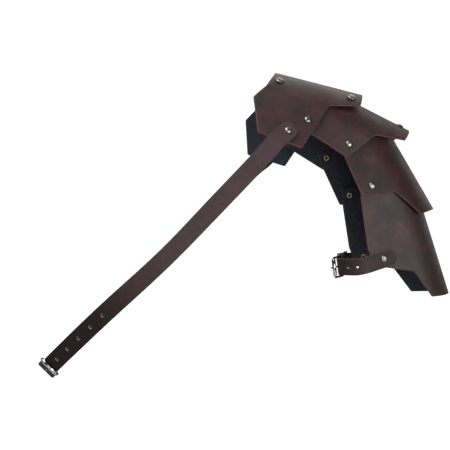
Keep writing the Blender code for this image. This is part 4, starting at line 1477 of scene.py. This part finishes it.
        # Only the chest strap's front part takes the leather with its painted shade ramp; the other
        # straps take the darker painted-shade copy.
        chest_front = (self.prefix, side) == ("chest", "front")
        (STRAP_DRESSING if chest_front else SHADED_DRESSING).put_on(mesh)
        return piece(f"{name}_leather", mesh, name)

    def build_front(self) -> None:
        """Build the holed strap, from its riveted round end to its pointed tail."""
        tail = self.buckle.heel + self.buckle.tail
        half = self.width / 2.0
        outline = self.head_arc(-self.head, 1.0)
        outline += [Vector((tail - back * half, share * half)) for back, share in TAIL_POINT]
        punches = [Punch(at, self.hole_radius) for at in self.holes]
        slot_radius = self.buckle.prong_radius + self.buckle.prong_clearance
        punches.append(Punch(self.buckle.heel - self.slot_back, slot_radius,
                             self.slot_length - 2.0 * slot_radius))
        cuts = [self.step * count for count in range(-2, int(tail / self.step) + 1)]
        self.build_strap("front", self.route, outline, cuts, punches)

    def build_back(self) -> None:
        """Build the buckled strap, from its fold to its riveted round end."""
        route = self.folded()
        half = self.width / 2.0
        outline = self.head_arc(route.length + self.head, -1.0)
        outline += [Vector((0.0, -half)), Vector((0.0, half))]
        cuts = [length for length in route.lengths[1:-1] if length > 2.0]
        self.build_strap("back", route, outline, cuts, ())

    def build_buckle(self) -> None:
        """Build the frame, the roller, the prong and the wire keeper."""
        buckle, prefix = self.buckle, self.prefix
        half = self.width / 2.0 + buckle.side_clearance + buckle.wire
        level = Vector((0.0, 0.0, 1.0))
        loop = corner_arcs(0.0, self.reach, half, buckle.corner)
        frame = swept(f"{prefix}_frame", loop, [buckle.wire] * len(loop), level, self.matrix,
                      closed=True)
        self.dress_metal(frame, f"{prefix}_buckle_frame")
        bore, outer = buckle.wire + GAP, buckle.roller_radius
        end = half - buckle.corner
        edge, lip = buckle.roller_edge, buckle.roller_lip
        profile = [(outer - edge, -end), (outer, edge - end),
                   (outer, end - edge), (outer - edge, end),
                   (bore + lip, end), (bore, end - lip),
                   (bore, lip - end), (bore + lip, -end)]
        upright = (self.matrix @ Matrix.Translation((self.reach, 0.0, 0.0))
                   @ Matrix.Rotation(math.radians(90.0), 4, "X"))
        roller = turned(f"{prefix}_roller", profile, buckle.roller_sides, upright, closed=True)
        roller.flip_normals()
        self.dress_metal(roller, f"{prefix}_buckle_roller", ROLLED)
        self.build_prong()
        top = STRAP_LEATHER / 2.0 + GAP + buckle.keeper_wire
        bottom = -(2.5 * STRAP_LEATHER + 3.0 * GAP + buckle.keeper_wire)
        side = self.width / 2.0 + GAP + buckle.keeper_wire
        hoop = corner_arcs(bottom, top, side, buckle.keeper_corner)
        across = (self.route.frame(buckle.heel + buckle.keeper)
                  @ Matrix.Rotation(math.radians(-90.0), 4, "Y"))
        keeper = swept(f"{prefix}_keeper", hoop, [buckle.keeper_wire] * len(hoop), level, across,
                       closed=True)
        self.dress_metal(keeper, f"{prefix}_strap_keeper")

    def build_prong(self) -> None:
        """Build the prong, from its eye round the heel bar to its tip on the roller."""
        buckle = self.buckle
        rest = buckle.wire + buckle.prong_clearance + buckle.prong_radius
        turns = [math.radians(EYE_START + EYE_STEP * step) for step in range(EYE_POINTS)]
        points = [Vector((rest * math.cos(turn), 0.0, rest * math.sin(turn))) for turn in turns]
        body = [Vector((share * self.reach, 0.0, rest + rise)) for share, rise in PRONG_BODY]
        points += Route.smoothed(body, 8)
        to_end = [min(index, len(points) - 1 - index) / PRONG_TAPER for index in range(len(points))]
        radii = [buckle.prong_radius * min(1.0, PRONG_END + (1.0 - PRONG_END) * share)
                 for share in to_end]
        mesh = swept(f"{self.prefix}_prong", points, radii, Vector((0.0, 1.0, 0.0)), self.matrix)
        self.dress_metal(mesh, f"{self.prefix}_buckle_prong")

    def dress_metal(self, mesh: Mesh, node: str, finish: MetalFinish = GUNMETAL) -> None:
        """Give a metal mesh its finish and put it in its node's place."""
        mesh.materials.append(finish.material())
        piece(f"{node}_metal", mesh, node)

    def build(self) -> None:
        """Build both straps, the buckle and the rivet of the fold."""
        self.build_front()
        self.build_back()
        self.build_buckle()
        frame = self.route.frame(self.buckle.heel + self.buckle.rivet)
        seat = frame @ Vector((0.0, 0.0, -STRAP_LEATHER / 2.0))
        stock = RivetStock()
        stock.build(f"{self.prefix}_fold_rivet", seat, frame.col[2].to_3d(),
                    2.0 * (STRAP_LEATHER + GAP) + stock.clearance)


# Rows of (run, depth, sag, roll), from the front rivet round the torso to the back one.
CHEST_STATIONS = tuple(Station(*row) for row in (
    (40, -113.5, 0.7, 10), (74, -119, 2.0, 12), (136, -123, 3.6, 14), (208, -122, 5.1, 20),
    (260, -118, 4.0, 18), (335, -103, -0.1, 9), (403, -80, -2.9, 3), (441, -62, -4.3, 0),
    (456, -49, -4.9, 0), (468, -30, -5.8, 0), (473, -8, -7.0, 0), (472, 14, -8.2, 0),
    (462, 36, -9.3, 0), (442, 57, -10.1, 0), (403, 80, -10.3, 2), (335, 99, -8.3, 6),
    (208, 113, -6.2, 12), (136, 113, -7.1, 12), (74, 105, -6.8, 10), (40, 97, -5.0, 9)))
# Places in mm, from the front leg round the arm to the back one.
ARM_STRETCHES = tuple(Stretch(place) for place in (
    (66, -67.0, -258.1), (54, -64.5, -260.7), (43.2, -55.5, -261.1), (37.3, -43.5, -261.4),
    (35.4, -31.0, -261.9), (36.3, -16.0, -261.7), (39.5, -1.0, -260.5), (45.0, 15.0, -256.5),
    (51.0, 30.0, -253.3), (55.5, 44.0, -252.1), (62.5, 60.5, -254.6)))


def chest_fastening() -> Fastening:
    """Return the chest strap, whose stations are measured from its front rivet."""
    seats = ((97.0, 141.5), (103.5, 152.0), (109.5, 162.0))
    front, _ = LAMES["lame_1"].arch.seat(*seats[0])
    anchor = Vector((front.x, 0.0, front.z))
    buckle = Buckle(
        heel=487.0, wire=1.6, length=21.0, lift=0.6, keeper=28.0, tail=40.0, rivet=49.0, fold=57.0)
    return Fastening(
        "chest", "lame_1", seats, tuple(station.stretch(anchor) for station in CHEST_STATIONS),
        across=Vector((1.0, 0.0, -1.0)), width=25.0, head=0.0,
        holes=(349.0, 374.0, 399.0, 424.0, 449.0), hole_radius=2.2, buckle=buckle)


def arm_fastening() -> Fastening:
    """Return the arm strap."""
    buckle = Buckle(
        heel=99.0, wire=1.5, length=20.0, lift=3.0, keeper=30.0, tail=42.0, rivet=51.0, fold=58.0)
    return Fastening(
        "arm", "lame_4", ((79.5, 118.5), (79.7, 128.5)), ARM_STRETCHES,
        across=Vector((0.12, 0.0, -1.0)), width=23.0, head=7.5,
        holes=(39.0, 53.5, 68.0), hole_radius=1.6, buckle=buckle)


# Studio


@dataclass(frozen=True)
class Softbox:
    """A square studio light: its turn from the front towards the arm, its rise, size and power.

    Angles are in degrees, lengths in metres and power in watts.
    """

    name: str
    turn: float
    rise: float
    size: float
    power: float
    distance: float = 2.0
    target: Place = (0.05, -0.05, -0.15)

    def build(self) -> None:
        """Put the light in the scene."""
        light = bpy.data.lights.new(self.name, "AREA")
        light.shape = "SQUARE"
        light.size = self.size
        light.energy = self.power
        made = put_in_scene(self.name, light)
        turn, rise = math.radians(self.turn), math.radians(self.rise)
        flat = math.cos(rise)
        aim = Vector((math.sin(turn) * flat, -math.cos(turn) * flat, math.sin(rise)))
        made.location = Vector(self.target) + aim * self.distance
        made.rotation_euler = aim.to_track_quat("Z", "Y").to_euler()


@dataclass(frozen=True)
class Studio:
    """Pale floor, soft light all round, and a camera at the photograph's angle; in metres."""

    sensor_width: float = 36.0
    camera_place: Place = (-0.126, -1.006, -0.2266)
    lens: float = 55.2
    shift_y: float = 0.038
    floor_height: float = -0.62
    floor_size: float = 40.0
    floor_color: Color = (0.5, 0.5, 0.5)
    floor_roughness: float = 0.9
    floor_specular: float = 0.1
    floor_glow: float = 0.06
    surround: float = 0.05
    seen_white: float = 1.1
    softboxes: tuple[Softbox, ...] = (
        Softbox("key_softbox", -44.0, 50.0, 1.0, 28.0, distance=1.5),
        Softbox("side_softbox", 30.0, 0.0, 0.4, 10.0, distance=1.25),
        Softbox("front_softbox", -4.0, 3.0, 0.6, 6.0),
        Softbox("top_softbox", 150.0, 56.0, 1.3, 10.0),
        Softbox("rim_softbox", 128.0, 16.0, 1.0, 4.5),
        Softbox("back_softbox", -165.0, 30.0, 1.2, 14.0),
    )

    def build(self) -> None:
        """Put up the floor, the lights, the surround and the camera."""
        self.lay_floor()
        for softbox in self.softboxes:
            softbox.build()
        self.hang_surround()
        self.place_camera()

    def seen_or_lit(self, bench: Bench, lit: float) -> NodeSocket:
        """Return a strength that is white where it is seen, and lower where it only gives light."""
        seen = bench.put("ShaderNodeLightPath").outputs["Is Camera Ray"]
        return bench.plus(bench.times(seen, self.seen_white - lit), lit)

    def lay_floor(self) -> None:
        """Lay the pale floor."""
        half = self.floor_size / 2.0
        mesh = bpy.data.meshes.new("floor")
        corners = [(-half, -half), (half, -half), (half, half), (-half, half)]
        mesh.from_pydata([(x, y, self.floor_height) for x, y in corners], [], [(0, 1, 2, 3)])
        material = bpy.data.materials.new("pale_floor")
        material.use_nodes = True
        shader = material.node_tree.nodes["Principled BSDF"]
        bench = Bench(material.node_tree)
        bench.fill(shader, Base_Color=self.floor_color, Roughness=self.floor_roughness,
                   Specular_IOR_Level=self.floor_specular, Emission_Color=WHITE,
                   Emission_Strength=self.seen_or_lit(bench, self.floor_glow))
        mesh.materials.append(material)
        put_in_scene("floor", mesh)

    def hang_surround(self) -> None:
        """Surround the set with white that lights the leather only dimly."""
        world = bpy.data.worlds.new("surround")
        world.use_nodes = True
        bench = Bench(world.node_tree)
        bench.fill(world.node_tree.nodes["Background"], Color=WHITE,
                   Strength=self.seen_or_lit(bench, self.surround))
        bpy.context.scene.world = world

    def place_camera(self) -> None:
        """Place the camera, level and square to the wearer's front."""
        camera = bpy.data.cameras.new("camera")
        camera.lens = self.lens
        camera.sensor_width = self.sensor_width
        camera.shift_y = self.shift_y
        made = put_in_scene("camera", camera)
        made.location = self.camera_place
        made.rotation_euler = (math.radians(90.0), 0.0, 0.0)
        bpy.context.scene.camera = made
        bpy.context.scene.view_settings.view_transform = "Standard"


def main() -> None:
    """Dress the whole pauldron and set up the studio."""
    logging.basicConfig(level=logging.INFO, format="%(name)s: %(message)s")
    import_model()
    for lame in LAMES.values():
        lame.build()
    for rivet in RIVETS:
        rivet.build()
    chest_fastening().build()
    arm_fastening().build()
    Studio().build()


if __name__ == "__main__":
    main()
